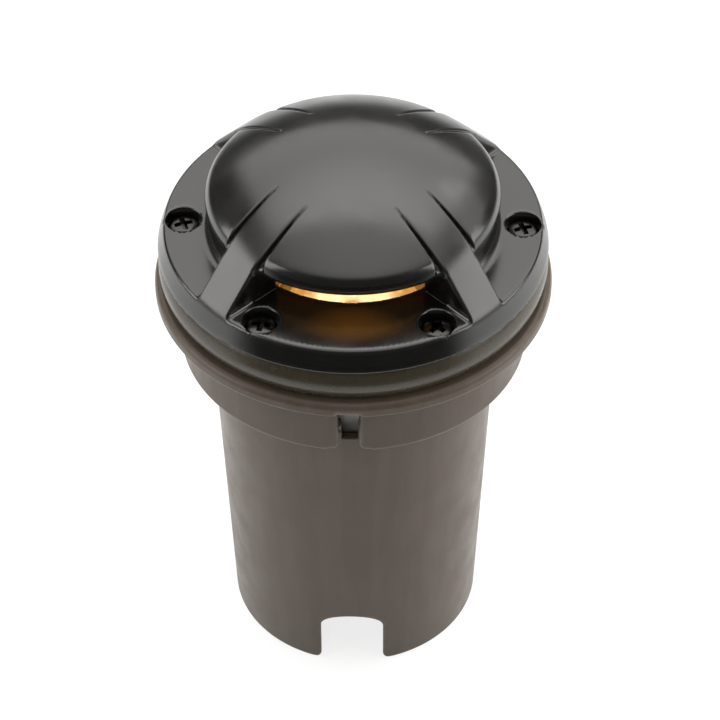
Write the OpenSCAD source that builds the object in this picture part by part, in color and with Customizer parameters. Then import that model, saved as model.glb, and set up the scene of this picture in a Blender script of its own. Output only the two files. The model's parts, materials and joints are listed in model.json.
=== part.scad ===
// In-ground well light: a shielded cover on a cast housing that drops into a ground sleeve
// Millimetres. The origin is the centre of the sleeve's bottom rim, +Z is up and -Y is the lit front.

/* [Ground sleeve] */
// Height of the sleeve, from its bottom rim to the top of its ring
sleeve_h = 136.5; // [130:0.5:150]
// Reach of the ring beyond the housing's flange
ring_reach = 1.45; // [0.5:0.05:3]
// Thickness of the ring
ring_t = 4.5; // [3.5:0.1:6]
// Rounding of the ring's upper edge
ring_edge_r = 2; // [0.5:0.1:2.4]
// Rounding of the ring's lower edge
ring_under_r = 0.6; // [0.2:0.1:1]
// Set-out of the ring from the collar below it
ring_step = 7.15; // [5:0.05:9]
// Height of the collar
collar_h = 21.2; // [18:0.2:26]
// Rounding of the collar's lower edge
collar_edge_r = 1.2; // [0.4:0.1:2]
// Room between the tube and the canister, at their tops
tube_top_room = 3.4; // [2:0.1:5]
// Room between the tube and the canister, at their feet
tube_foot_room = 0.6; // [0.4:0.1:2]
// Rounding of the bottom rim
rim_r = 0.8; // [0.2:0.1:1.2]
// Wall of the sleeve
sleeve_wall = 2.5; // [1.8:0.1:2.8]
// Width of the notch in the collar
notch_w = 5.9; // [4:0.1:8]
// Flare at the foot of the notch
notch_flare_r = 2.4; // [1:0.1:3]
// Width of the window in the tube behind the notch
window_w = 4.4; // [3:0.1:7]
// Reach of the window below the collar
window_drop = 3.8; // [2:0.1:8]
// Width of the cable cut-out in the bottom rim
cable_cut_w = 20; // [14:0.5:26]
// Height of the cable cut-out
cable_cut_h = 22.5; // [16:0.5:30]
// Rise of the arch of the cable cut-out
cable_arch_h = 6; // [3:0.5:10]
// Flare at the foot of the cable cut-out
cable_flare_r = 2.6; // [0.6:0.1:4]

/* [Housing] */
// Width of the flange and of the cover outside the screw circle
flange_edge_w = 8; // [7.5:0.1:10]
// Height of the flange
flange_h = 10.9; // [10.5:0.1:14]
// Gap left between parts that lift apart
seat_gap = 0.3; // [0.1:0.05:0.5]
// Height of the lip along the flange's top edge
flange_lip_h = 0.9; // [0.6:0.1:1.4]
// Depth of the groove under the lip
flange_groove_t = 0.7; // [0.3:0.1:1.2]
// Height of the groove under the lip
flange_groove_h = 1.1; // [0.6:0.1:1.6]
// Height of the set-back foot below the bead
flange_foot_h = 2.35; // [1.2:0.05:3]
// Swell of the bead round the flange's side
flange_bead_t = 0.5; // [0.2:0.1:0.8]
// Set-back of the flange's foot
flange_foot_t = 0.35; // [0.2:0.05:0.8]
// Wall of the flange's outer skirt
skirt_wall = 2.8; // [2.2:0.1:3.2]
// Thickness of the flange's top over the cored ring
flange_top_t = 3; // [2:0.1:4]
// Set-out of the bowl's side from the glass recess
bowl_step = 2.5; // [2:0.1:3.5]
// Room between the sleeve's collar and the canister's top
collar_room = 3; // [2:0.1:4]
// Height of the neck between the bowl and the canister
neck_h = 7.5; // [6:0.5:8]
// Room between the canister's foot and the yoke
canister_room = 2.1; // [1.5:0.1:3]
// Widening of the canister from its foot to its top
canister_taper = 1.6; // [0.5:0.1:2.5]
// Height of the housing's foot above the sleeve's
housing_foot_z = 26; // [24:0.5:30]
// Wall of the housing
housing_wall = 3; // [2.2:0.1:3.2]
// Thickness of the canister's floor
floor_t = 4; // [3:0.5:5]
// Width of the ledge under the glass
ledge_w = 7.5; // [6.5:0.1:9]

/* [Glass and gaskets] */
// Diameter of the glass
glass_d = 89.5; // [86:0.5:91]
// Thickness of the glass
glass_t = 5; // [4:0.5:6]
// Bevel of the glass edges
glass_bevel = 0.5; // [0.2:0.1:1]
// Thickness of the lower gasket
lower_gasket_t = 1.5; // [1:0.1:2]
// Thickness of the upper gasket
upper_gasket_t = 1.7; // [1:0.1:2]
// Width of both gaskets
gasket_w = 5.75; // [4:0.25:7]
// Gap round the glass and the gaskets
glass_gap = 0.25; // [0.1:0.05:0.4]

/* [Cover] */
// Height of the cover, from its seat to the top of the dome
cover_h = 35.4; // [32:0.2:38]
// Set-in of the shoulder, where the dome meets the flank, from the lips
shoulder_inset = 0.1; // [0:0.05:1]
// Height of the cover at the shoulder
shoulder_h = 21.2; // [19:0.2:23]
// Width of the rim outside the pockets
pocket_edge_w = 2.4; // [2:0.1:4]
// Rise of the flank over the pockets' floor at their outer arc
pocket_edge_rise = 0.7; // [0.3:0.1:2]
// Blend radius between the dome and the flank
shoulder_blend_r = 30; // [10:1:60]
// Blend radius between the flank and the cover's outer band
rim_blend_r = 10; // [4:0.5:12]
// Height of the pockets' floor
pocket_floor_h = 7.2; // [6.6:0.1:7.3]
// Height of the upright band along the cover's bottom edge
cover_band_h = 0.9; // [0.4:0.1:1.5]
// Width of the strap ribs
rib_w = 12.4; // [10:0.2:13]
// Distance from the screw circle to the lips of the shells
lip_gap = 6.9; // [6.6:0.1:8]
// Radius of the lips' upper rounding
lip_crown_r = 6; // [4:0.5:9]
// Radius of the lips' lower rounding
lip_r = 1.8; // [1.2:0.1:2.4]
// Overhang of the lips over the upright wall below them
lip_overhang = 1.6; // [1:0.1:2.5]
// Radius of the cove between that wall and the pockets' floor
cove_r = 2; // [0.5:0.5:3]
// Thickness of that wall
shell_wall_t = 5.5; // [4:0.1:7]
// Thickness of the dome
shell_t = 3; // [2.2:0.1:4]
// Set-in of the light opening from that wall
aperture_step = 1.1; // [0.5:0.1:3]
// Length of the grooves beside the ribs
rib_groove_l = 19.3; // [12:0.1:24]
// Width of those grooves at the lip
rib_groove_w = 1.3; // [0.8:0.1:2.4]
// Depth of those grooves at the lip
rib_groove_t = 3.4; // [2:0.1:4]

/* [Cover screws] */
// Distance from the glass recess to the screw circle
screw_inset = 6; // [5.5:0.1:8]
// Number of cover screws
screw_count = 6; // [6:1:6]
// Diameter of the screw heads
screw_head_d = 9.8; // [8:0.1:10]
// Height of the screw heads
screw_head_h = 3; // [2.2:0.1:3.4]
// Diameter of the screw shanks
screw_d = 4.9; // [4:0.1:5]
// Thickness of the cover under the washers
screw_seat_t = 2; // [1.5:0.1:3]
// Gap round the washers in the counterbores
counterbore_gap = 0.5; // [0.3:0.1:1]
// Reach of the screws into the housing
screw_reach = 8; // [5:0.5:8.5]
// Thickness of the washers under the heads
screw_washer_t = 0.6; // [0.3:0.1:1]
// Reach of the washers beyond the heads
screw_washer_w = 0.4; // [0.2:0.1:1]
// Diameter of the housing's screw bosses
boss_d = 9.6; // [8:0.1:10]
// Width of the slots in the heads
slot_w = 1.1; // [0.7:0.1:1.4]
// Length of the slots in the heads
slot_l = 5.4; // [4:0.1:6]
// Depth of the slots in the heads
slot_depth = 1.7; // [1:0.1:2]

/* [Lamp] */
// Diameter of the lamp
lamp_d = 50; // [48:0.5:51]
// Height of the lamp's front rim
lamp_rim_h = 3; // [2.5:0.1:3.5]
// Height of the finned heat sink below the rim
lamp_fin_h = 26; // [22:0.5:28]
// Diameter of the heat sink at its neck
lamp_neck_d = 24; // [22:0.5:28]
// Number of fins
fin_count = 18; // [12:1:24]
// Thickness of a fin
fin_t = 1.6; // [1:0.1:2]
// Width of the lamp's rim round its optic
lamp_rim_w = 3.5; // [2.5:0.1:6]
// Thickness of the lamp's optic
optic_t = 2.4; // [1.5:0.1:3]
// Thickness of the board with the light source
led_board_t = 1.6; // [1:0.1:2]
// Diameter of the light source on its board
led_d = 11; // [6:0.5:14]
// Height of the light source on its board
led_h = 0.9; // [0.4:0.1:1.5]
// Gap between the board and the optic
optic_air = 3; // [2:0.5:5]
// Length of the lamp's base along the pins' row
base_l = 15; // [13:0.5:17]
// Width of the lamp's base
base_w = 8.5; // [7:0.5:10]
// Height of the lamp's base
base_h = 9; // [7:0.5:10]
// Distance between the lamp's pins
pin_pitch = 5.3; // [5:0.1:5.6]
// Diameter of the lamp's pins
pin_d = 1.5; // [1.2:0.1:1.6]
// Length of the lamp's pins
pin_l = 6.5; // [5:0.5:7]
// Length of the socket along the pins' row
socket_l = 18; // [16:0.5:18.5]
// Width of the socket
socket_w = 12; // [10:0.5:13]
// Height of the socket
socket_h = 14; // [12:0.5:14]
// Rounding of the socket's and the base's upright edges
socket_r = 2; // [0.5:0.1:2.5]

/* [Gimbal] */
// Depth of the tilt axis below the housing's top
pivot_depth = 26; // [24:0.5:27]
// Wall of the gimbal ring
gimbal_wall = 3.3; // [2.5:0.1:4]
// Height of the gimbal ring
gimbal_h = 13; // [12:0.5:14]
// Width of the ledge that the lamp sits on
gimbal_ledge_w = 1.6; // [1:0.1:2]
// Thickness of the ledge that the lamp sits on
gimbal_ledge_t = 2; // [1.5:0.1:3]
// Gap round the lamp in its ring
lamp_gap = 0.3; // [0.1:0.05:0.5]
// Thickness of the wire of the lamp's retaining spring
retainer_wire_d = 1.4; // [1:0.1:1.6]
// Opening of the retaining spring, in degrees
retainer_open_a = 24; // [12:1:40]
// Thickness of the yoke's sheet metal
yoke_t = 1.5; // [1.2:0.1:1.8]
// Width of the yoke
yoke_w = 12; // [10:0.5:13]
// Gap between the yoke's arms and the gimbal ring
yoke_side_gap = 1.4; // [1:0.1:2]
// Bend radius of the yoke, inside
yoke_bend_r = 2; // [1:0.5:4]
// Height of the tilt axis above the yoke's base
yoke_h = 58; // [57:0.5:60]
// Diameter of the pivot screws' shanks
pivot_d = 3.9; // [3:0.1:4]
// Diameter of the pivot screws' heads
pivot_head_d = 7.4; // [6:0.1:8]
// Height of the pivot screws' heads
pivot_head_h = 1.7; // [1.2:0.1:2]
// Thickness of the washers between the arms and the ring
pivot_washer_t = 0.8; // [0.5:0.1:1]
// Running gap of the pivot and swivel screws, on the radius
running_gap = 0.08; // [0.03:0.01:0.1]
// Diameter of the swivel screw's shank
swivel_d = 4.4; // [3.5:0.1:5]
// Diameter of the swivel screw's head
swivel_head_d = 8.6; // [7:0.1:9]
// Height of the swivel screw's head
swivel_head_h = 2; // [1.6:0.1:2.2]
// Thickness of the swivel's spring washer
swivel_washer_t = 0.8; // [0.5:0.1:1]
// Width of the swivel's nut across its flats
swivel_nut_af = 8; // [7:0.5:9]
// Height of the swivel's nut
swivel_nut_h = 3.6; // [3:0.1:4]

/* [Stand and wiring] */
// Thickness of the stand's sheet metal
stand_t = 1.5; // [1.2:0.1:2]
// Width of the stand
stand_w = 16; // [14:0.5:18]
// Outer distance over the stand's legs
stand_span = 40; // [36:0.5:42]
// Length of the stand's feet
stand_foot_l = 9; // [8:0.5:9.5]
// Height of the bosses under the stand's feet
stand_boss_h = 4; // [3:0.5:5]
// Diameter of the bosses under the stand's feet
stand_boss_d = 8; // [7:0.2:8.6]
// Diameter of the stand's screws
stand_screw_d = 3.4; // [3:0.1:4]
// Diameter of the heads of the stand's screws
stand_head_d = 6.4; // [5.5:0.1:7]
// Height of the heads of the stand's screws
stand_head_h = 2.2; // [1.8:0.1:2.6]
// Reach of the stand's screws below its feet
stand_screw_reach = 6; // [4:0.5:6.5]
// Length of the terminal block
terminal_l = 19; // [16:0.5:20]
// Width of the terminal block
terminal_w = 9; // [8:0.5:10]
// Height of the terminal block
terminal_h = 12; // [10:0.5:13]
// Distance of the terminal block from the axis
terminal_y = 20.5; // [19:0.5:22]
// Distance between the two leads
lead_pitch = 12; // [11.6:0.1:12.4]
// Diameter of a lead
lead_d = 1.8; // [1.4:0.1:2]
// Bend radius of the leads
lead_bend_r = 3; // [2:0.2:3.4]
// Diameter of the terminal screws
terminal_screw_d = 3.6; // [3:0.1:4]

/* [Cable gland] */
// Diameter of the gland's upper thread
gland_thread_d = 15.6; // [14:0.2:16]
// Width of the gland's hexagon across its flats
gland_af = 22; // [20:0.5:24]
// Height of the gland's hexagon
gland_hex_h = 4.5; // [4:0.5:6]
// Diameter of the gland's lower thread
gland_lower_d = 17; // [16:0.2:18]
// Height of the gland's lower thread
gland_lower_h = 8; // [6:0.5:8.5]
// Diameter of the gland's own cable passage
gland_bore_d = 10; // [9.6:0.1:11]
// Thickness of the gland's sealing washer
gland_washer_t = 1.2; // [0.8:0.1:1.6]
// Height of the gland's lock nut
gland_locknut_h = 4; // [3:0.5:5]
// Width of the gland's lock nut across its flats
gland_locknut_af = 20; // [19:0.5:21]
// Outer diameter of the gland's rubber seal
gland_seal_d = 13; // [12:0.1:13.4]
// Height of the gland's rubber seal
gland_seal_h = 7.4; // [6:0.1:7.6]
// Diameter of the hole in the gland's seal
gland_seal_bore_d = 9.6; // [9.2:0.1:10]
// Outer diameter of the gland's cap nut
gland_nut_d = 24; // [22:0.5:25]
// Diameter of the cable hole in the cap nut
cable_hole_d = 9; // [8:0.1:9.1]
// Thickness of the cap nut's end
gland_nut_end_t = 3; // [2:0.5:3.5]
// Number of flutes round the cap nut
flute_count = 12; // [8:1:16]
// Diameter of a flute
flute_d = 2.4; // [1.6:0.1:3]

/* [Hidden] */
$fn = 96;

// One overrun serves every cut
over = 1;
// Steps along a rounded edge and along the dome's long arc
edge_steps = 6;
dome_steps = 20;
// Small clearance between a screw and its hole in the same body
screw_gap = 0.05;

// Diameters from the lamp outwards, and the clearances between them
gimbal_bore_d = lamp_d + 2 * lamp_gap;
gimbal_d = gimbal_bore_d + 2 * gimbal_wall;
yoke_span = gimbal_d + 2 * yoke_side_gap;
yoke_outer_x = yoke_span / 2 + yoke_t;
canister_foot_d = 2 * (yoke_outer_x + canister_room + housing_wall);
canister_top_d = canister_foot_d + 2 * canister_taper;
tube_foot_d = canister_foot_d + 2 * (tube_foot_room + sleeve_wall);
tube_top_d = canister_top_d + 2 * (tube_top_room + sleeve_wall);

// Diameters from the glass outwards
glass_recess_r = glass_d / 2 + glass_gap;
gasket_bore_d = glass_d - 2 * gasket_w;
ledge_d = 2 * (glass_recess_r - ledge_w);
bowl_r = glass_recess_r + bowl_step;
screw_circle_d = 2 * (glass_recess_r + screw_inset);
flange_r = screw_circle_d / 2 + flange_edge_w;
ring_d = 2 * (flange_r + ring_reach);
collar_d = ring_d - 2 * ring_step;

// Diameters of the cover, from its edge inwards
pocket_d = 2 * (flange_r - pocket_edge_w);
lip_d = screw_circle_d - 2 * lip_gap;
shoulder_d = lip_d - 2 * shoulder_inset;
shell_wall_d = lip_d - 2 * lip_overhang;
cavity_d = shell_wall_d - 2 * shell_wall_t;
aperture_d = cavity_d - 2 * aperture_step;
rib_groove_start = lip_d / 2 - rib_groove_l;

// Levels
collar_z = sleeve_h - ring_t - collar_h;
housing_z = sleeve_h + seat_gap + flange_h;
cover_z = housing_z + seat_gap;
bowl_h = ring_t + collar_h + seat_gap - collar_room - neck_h;
pocket_edge_h = pocket_floor_h + pocket_edge_rise;
inner_floor_z = housing_foot_z + floor_t;
pivot_z = housing_z - pivot_depth;
glass_recess_h = lower_gasket_t + glass_t + upper_gasket_t;
ledge_z = housing_z - glass_recess_h;
yoke_base_z = pivot_z - yoke_h;
stand_top_z = yoke_base_z - yoke_t - seat_gap;

// Ledge and cored ring of the housing
ledge_t = flange_h + housing_wall / 2 - glass_recess_h;
core_outer_r = flange_r - flange_foot_t - skirt_wall;
core_inner_r = glass_recess_r + housing_wall;
core_z = housing_z - flange_top_t;

// Dome of the cover: one sphere through the top and the shoulder
shoulder_fall = cover_h - shoulder_h;
dome_r = (shoulder_fall * shoulder_fall + shoulder_d * shoulder_d / 4) / (2 * shoulder_fall);
dome_centre_h = cover_h - dome_r;
lip_crown_x = lip_d / 2 - lip_crown_r;
lip_inset = 0.01;
lip_reach = dome_r - lip_crown_r + lip_inset;
lip_centre_h = dome_centre_h + sqrt(lip_reach * lip_reach - lip_crown_x * lip_crown_x);
// Angle at which the lip's upper rounding runs into the dome
lip_crown_a = atan2(lip_centre_h - dome_centre_h, lip_crown_x);
lip_crown_end_x = lip_crown_x + lip_crown_r * cos(lip_crown_a);
// Angle at which the lip's lower rounding turns in
lip_end_a = -75;
lip_under_h = lip_centre_h + lip_r * sin(lip_end_a);
// Angle at which the first strap rib leaves the axis
rib_a = 225;
// Height of the dome's sphere at a distance from the axis
function dome_at(x) = dome_centre_h + sqrt(dome_r * dome_r - x * x);

// Blend between the dome and the straight flank, tangent to both
flank_run = (pocket_d - shoulder_d) / 2;
flank_rise = shoulder_h - pocket_edge_h;
flank_l = sqrt(flank_run * flank_run + flank_rise * flank_rise);
flank_a = atan2(flank_run, flank_rise);
blend_base = [pocket_d / 2 - shoulder_blend_r * cos(flank_a),
    pocket_edge_h - dome_centre_h - shoulder_blend_r * sin(flank_a)];
blend_along = blend_base * [-sin(flank_a), cos(flank_a)];
blend_s = -blend_along + sqrt(blend_along * blend_along - blend_base * blend_base
    + (dome_r - shoulder_blend_r) * (dome_r - shoulder_blend_r));
blend_centre = blend_base + blend_s * [-sin(flank_a), cos(flank_a)];
blend_end_a = atan2(blend_centre[1], blend_centre[0]);

// Blend between the flank and the outer band, tangent to both
band_a = atan2(pocket_edge_w, pocket_edge_h - cover_band_h);
band_half_a = (flank_a - band_a) / 2;
band_tangent = rim_blend_r * tan(band_half_a);
band_centre = [pocket_d / 2 + band_tangent * sin(band_a) - rim_blend_r * cos(band_a),
    pocket_edge_h - band_tangent * cos(band_a) - rim_blend_r * sin(band_a)];

// Cover screws
screw_turn_a = 20;
counterbore_h = pocket_floor_h - screw_seat_t;
screw_washer_d = screw_head_d + 2 * screw_washer_w;
counterbore_d = screw_washer_d + 2 * counterbore_gap;
head_seat_z = cover_z + pocket_floor_h - counterbore_h + screw_washer_t;
screw_hole_d = screw_d + 2 * screw_gap;

// Lamp, stacked downwards from the gimbal ring's ledge
lamp_seat_z = pivot_z - gimbal_h / 2 + gimbal_ledge_t;
lamp_front_z = lamp_seat_z + lamp_rim_h;
lamp_fin_z = lamp_seat_z - lamp_fin_h;
lamp_base_z = lamp_fin_z - base_h;
socket_bore_h = base_h / 2;
socket_z = lamp_base_z + socket_bore_h - socket_h;
optic_z = lamp_front_z - optic_t;
optic_d = lamp_d - 2 * lamp_rim_w;
led_board_z = optic_z - optic_air - led_board_t;
led_board_d = optic_d - 2 * lamp_gap;

// Gimbal ring and its pivots along X
gimbal_ledge_d = gimbal_bore_d - 2 * gimbal_ledge_w;
retainer_ring_r = gimbal_bore_d / 2 - retainer_wire_d / 2 + retainer_wire_d / 4;
retainer_z = lamp_front_z + retainer_wire_d / 2 + running_gap;
washer_x = yoke_span / 2 - pivot_washer_t - running_gap;
pivot_boss_d = pivot_head_d;

// Stand
stand_x = stand_span / 2;
stand_foot_z = inner_floor_z + stand_boss_h;
stand_screw_x = stand_x + stand_foot_l / 2;

// Terminal screws, each beside its lead
terminal_screw_x = (lead_pitch - lead_d - terminal_screw_d) / 2 - terminal_screw_d / 3;
terminal_screw_z = inner_floor_z + terminal_h * 2 / 3;

// Leads
lead_z = socket_z - lead_bend_r;
lead_end_z = inner_floor_z + terminal_h;

// Gland, stacked downwards from the floor
gland_hex_z = housing_foot_z - gland_washer_t - gland_hex_h;
gland_lower_z = gland_hex_z - gland_lower_h;
gland_thread_h = gland_washer_t + floor_t + gland_locknut_h;
gland_seal_z = gland_lower_z - seat_gap;
gland_nut_z = gland_seal_z - gland_nut_end_t;
gland_nut_h = gland_hex_z - seat_gap - gland_nut_z;

cover_black = "#20201f";
sleeve_brown = "#6b625a";
housing_bronze = "#57504a";
screw_black = "#1b1b1b";
rubber_black = "#2a2a2a";
bare_steel = "#b9bcc0";
bare_brass = "#b5965a";
glass_clear = "#cfe0df";
lamp_white = "#f6efdf";
lamp_grey = "#a9adb2";
nylon_black = "#303234";
ceramic_white = "#eee9df";

// Points along an arc, from one angle to another
function arc(x, y, r, from_a, to_a, steps) = [
    for (i = [0:steps])
        let (a = from_a + (to_a - from_a) * i / steps)
            [x + r * cos(a), y + r * sin(a)]
];

// Points along the upper half of an ellipse, from right to left
function arch(w, h, z, steps) = [
    for (i = [0:steps])
        let (a = 180 * i / steps)
            [w / 2 * cos(a), z + h * sin(a)]
];

// Outline of an opening in an edge: flared foot, straight sides and an arched or flat top
module mouth(w, h, arch_h, flare_r) {
    top = arch_h > 0 ? arch(w, arch_h, h - arch_h, 4 * edge_steps) : [[w / 2, h], [-w / 2, h]];
    polygon(concat(
        [[w / 2 + flare_r, -over]],
        arc(w / 2 + flare_r, flare_r, flare_r, 270, 180, edge_steps),
        top,
        arc(-w / 2 - flare_r, flare_r, flare_r, 0, -90, edge_steps),
        [[-w / 2 - flare_r, -over]]
    ));
}

// Cut an outline through the front, between two distances from the axis
module front_cut(near_y, far_y) {
    translate([0, -near_y, 0])
        rotate([90, 0, 0])
            linear_extrude(far_y - near_y)
                children();
}

// Hexagonal prism by its width across flats
module hexagon(af, h) {
    cylinder(h = h, d = af / cos(30), $fn = 6);
}

// Flat ring
module ring(outer_d, inner_d, h) {
    linear_extrude(h)
        difference() {
            circle(d = outer_d);
            circle(d = inner_d);
        }
}

// Copies round the axis
module around(count, r, start_a = 0) {
    for (i = [0:count - 1])
        rotate([0, 0, start_a + 360 * i / count])
            translate([r, 0, 0])
                children();
}

// Screw pointing down, with its head's seat at z = 0 and a cross in its head
module cross_screw(d, reach, head_d, head_h) {
    slot = [slot_l * head_d / screw_head_d, slot_w];
    slot_z = head_h - slot_depth * head_h / screw_head_h;
    difference() {
        union() {
            translate([0, 0, -reach])
                cylinder(h = reach + head_h / 2, d = d);
            rotate_extrude()
                polygon(concat(
                    [[0, 0], [head_d / 2, 0]],
                    arc(head_d / 2 - head_h / 2, head_h / 2, head_h / 2, 0, 90, edge_steps),
                    [[0, head_h]]
                ));
        }
        for (a = [0, 90])
            rotate([0, 0, a])
                translate([0, 0, slot_z])
                    linear_extrude(slot_depth + over)
                        square(slot, center = true);
    }
}

// Tapered tube with a stepped collar and a ring at ground level
module ground_sleeve() {
    color(sleeve_brown)
        difference() {
            rotate_extrude()
                polygon(concat(
                    [[tube_foot_d / 2 - sleeve_wall, 0]],
                    arc(tube_foot_d / 2 - rim_r, rim_r, rim_r, -90, 0, edge_steps),
                    [[tube_top_d / 2, collar_z]],
                    arc(collar_d / 2 - collar_edge_r, collar_z + collar_edge_r, collar_edge_r, -90, 0, edge_steps),
                    [[collar_d / 2, sleeve_h - ring_t]],
                    arc(ring_d / 2 - ring_under_r, sleeve_h - ring_t + ring_under_r, ring_under_r, -90, 0, edge_steps),
                    arc(ring_d / 2 - ring_edge_r, sleeve_h - ring_edge_r, ring_edge_r, 0, 90, edge_steps),
                    [[collar_d / 2 - sleeve_wall, sleeve_h],
                    [collar_d / 2 - sleeve_wall, collar_z + sleeve_wall],
                    [tube_top_d / 2 - sleeve_wall, collar_z + sleeve_wall]]
                ));
            translate([0, 0, collar_z])
                front_cut(tube_top_d / 2, collar_d / 2 + over)
                    mouth(notch_w, collar_h, 0, notch_flare_r);
            translate([0, 0, collar_z - window_drop])
                front_cut(tube_top_d / 2 - 2 * sleeve_wall, tube_top_d / 2 + over)
                    translate([-window_w / 2, 0])
                        square([window_w, window_drop + sleeve_wall + over]);
            front_cut(tube_foot_d / 2 - 3 * sleeve_wall, tube_top_d / 2)
                mouth(cable_cut_w, cable_cut_h, cable_arch_h, cable_flare_r);
        }
}

// Side of the flange from its foot to its lip, as points in radius and height
flange_bead_h = flange_h - flange_lip_h - flange_groove_h - flange_groove_t / 2 - flange_foot_h;
bead_r = flange_bead_h * flange_bead_h / 8 / flange_bead_t + flange_bead_t / 2;
bead_a = asin(flange_bead_h / 2 / bead_r);
bead_top_z = housing_z - flange_lip_h - flange_groove_h - flange_groove_t / 2;
bead_foot_z = bead_top_z - flange_bead_h;
flange_side = concat(
    [[flange_r - flange_foot_t - flange_bead_t, housing_z - flange_h],
    [flange_r - flange_foot_t, housing_z - flange_h + flange_bead_t],
    [flange_r - flange_foot_t, bead_foot_z - flange_bead_t],
    [flange_r - flange_foot_t - flange_bead_t, bead_foot_z]],
    arc(flange_r - bead_r, (bead_top_z + bead_foot_z) / 2, bead_r, -bead_a, bead_a, 2 * edge_steps),
    [[flange_r - flange_groove_t, bead_top_z + flange_groove_t / 2],
    [flange_r - flange_groove_t, housing_z - flange_lip_h - flange_groove_t / 2],
    [flange_r, housing_z - flange_lip_h],
    [flange_r, housing_z - flange_lip_h / 3],
    [flange_r - flange_lip_h / 3, housing_z]]
);

// Cast canister with its flange, glass recess, screw bosses and stand bosses
module lamp_housing() {
    flange_z = housing_z - flange_h;
    neck_z = flange_z - bowl_h;
    canister_z = neck_z - neck_h;
    color(housing_bronze)
        difference() {
            union() {
                difference() {
                    rotate_extrude()
                        polygon(concat(
                            flange_side,
                            [[glass_recess_r, housing_z],
                            [glass_recess_r, ledge_z],
                            [ledge_d / 2, ledge_z],
                            [ledge_d / 2, ledge_z - ledge_t],
                            [bowl_r - housing_wall, ledge_z - ledge_t],
                            [bowl_r - housing_wall, neck_z],
                            [canister_top_d / 2 - housing_wall, canister_z],
                            [canister_foot_d / 2 - housing_wall, inner_floor_z],
                            [0, inner_floor_z],
                            [0, housing_foot_z],
                            [canister_foot_d / 2 - rim_r, housing_foot_z],
                            [canister_foot_d / 2, housing_foot_z + rim_r],
                            [canister_top_d / 2, canister_z],
                            [bowl_r, neck_z],
                            [bowl_r, flange_z]]
                        ));
                    translate([0, 0, flange_z - over])
                        ring(2 * core_outer_r, 2 * core_inner_r, core_z - flange_z + over);
                }
                intersection() {
                    around(screw_count, screw_circle_d / 2)
                        translate([0, 0, flange_z])
                            cylinder(h = core_z - flange_z + flange_top_t / 2, d = boss_d);
                    translate([0, 0, flange_z])
                        cylinder(h = flange_h, r = core_outer_r + skirt_wall / 2);
                }
                for (side = [-1, 1])
                    translate([side * stand_screw_x, 0, housing_foot_z + floor_t / 2])
                        cylinder(h = floor_t / 2 + stand_boss_h, d = stand_boss_d);
            }
            around(screw_count, screw_circle_d / 2)
                translate([0, 0, housing_z - screw_reach - screw_gap])
                    cylinder(h = screw_reach + over, d = screw_hole_d);
            for (side = [-1, 1])
                translate([side * stand_screw_x, 0, stand_foot_z - stand_screw_reach - screw_gap])
                    cylinder(h = stand_screw_reach + over, d = stand_screw_d + 2 * screw_gap);
            translate([0, 0, housing_foot_z - over])
                cylinder(h = floor_t + 2 * over, d = gland_thread_d + 2 * screw_gap);
        }
}

// Quarter of the plan between two strap ribs
module quarter(index, size) {
    rotate(rib_a + 90 * index)
        translate([rib_w / 2, rib_w / 2])
            square(size);
}

// Space of one pocket: outside the lip's bull-nose and the wall below it
module pocket_space(index) {
    intersection() {
        rotate_extrude()
            polygon(concat(
                arc(shell_wall_d / 2 + cove_r, pocket_floor_h + cove_r, cove_r, 270, 180, edge_steps),
                [[shell_wall_d / 2, lip_under_h]],
                arc(lip_d / 2 - lip_r, lip_centre_h, lip_r, lip_end_a, 0, edge_steps),
                arc(lip_crown_x, lip_centre_h, lip_crown_r, 0, lip_crown_a, 2 * edge_steps),
                [[lip_crown_end_x, cover_h],
                [pocket_d / 2, cover_h],
                [pocket_d / 2, pocket_floor_h]]
            ));
        translate([0, 0, pocket_floor_h - over])
            linear_extrude(cover_h + over)
                quarter(index, 2 * flange_r);
    }
}

// Groove beside a rib, from nothing at its start to its full width and depth at the lip
module rib_groove(side) {
    end_x = lip_d / 2 + over;
    start_z = dome_at(rib_groove_start);
    end_z = dome_at(lip_d / 2) - rib_groove_t;
    intersection() {
        linear_extrude(cover_h)
            polygon([
                [rib_groove_start, side * rib_w / 2],
                [end_x, side * rib_w / 2],
                [end_x, side * (rib_w / 2 + rib_groove_w)]
            ]);
        translate([0, rib_w, 0])
            rotate([90, 0, 0])
                linear_extrude(2 * rib_w)
                    polygon([
                        [rib_groove_start, start_z],
                        [end_x, end_z],
                        [end_x, cover_h],
                        [rib_groove_start, cover_h]
                    ]);
    }
}

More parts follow.
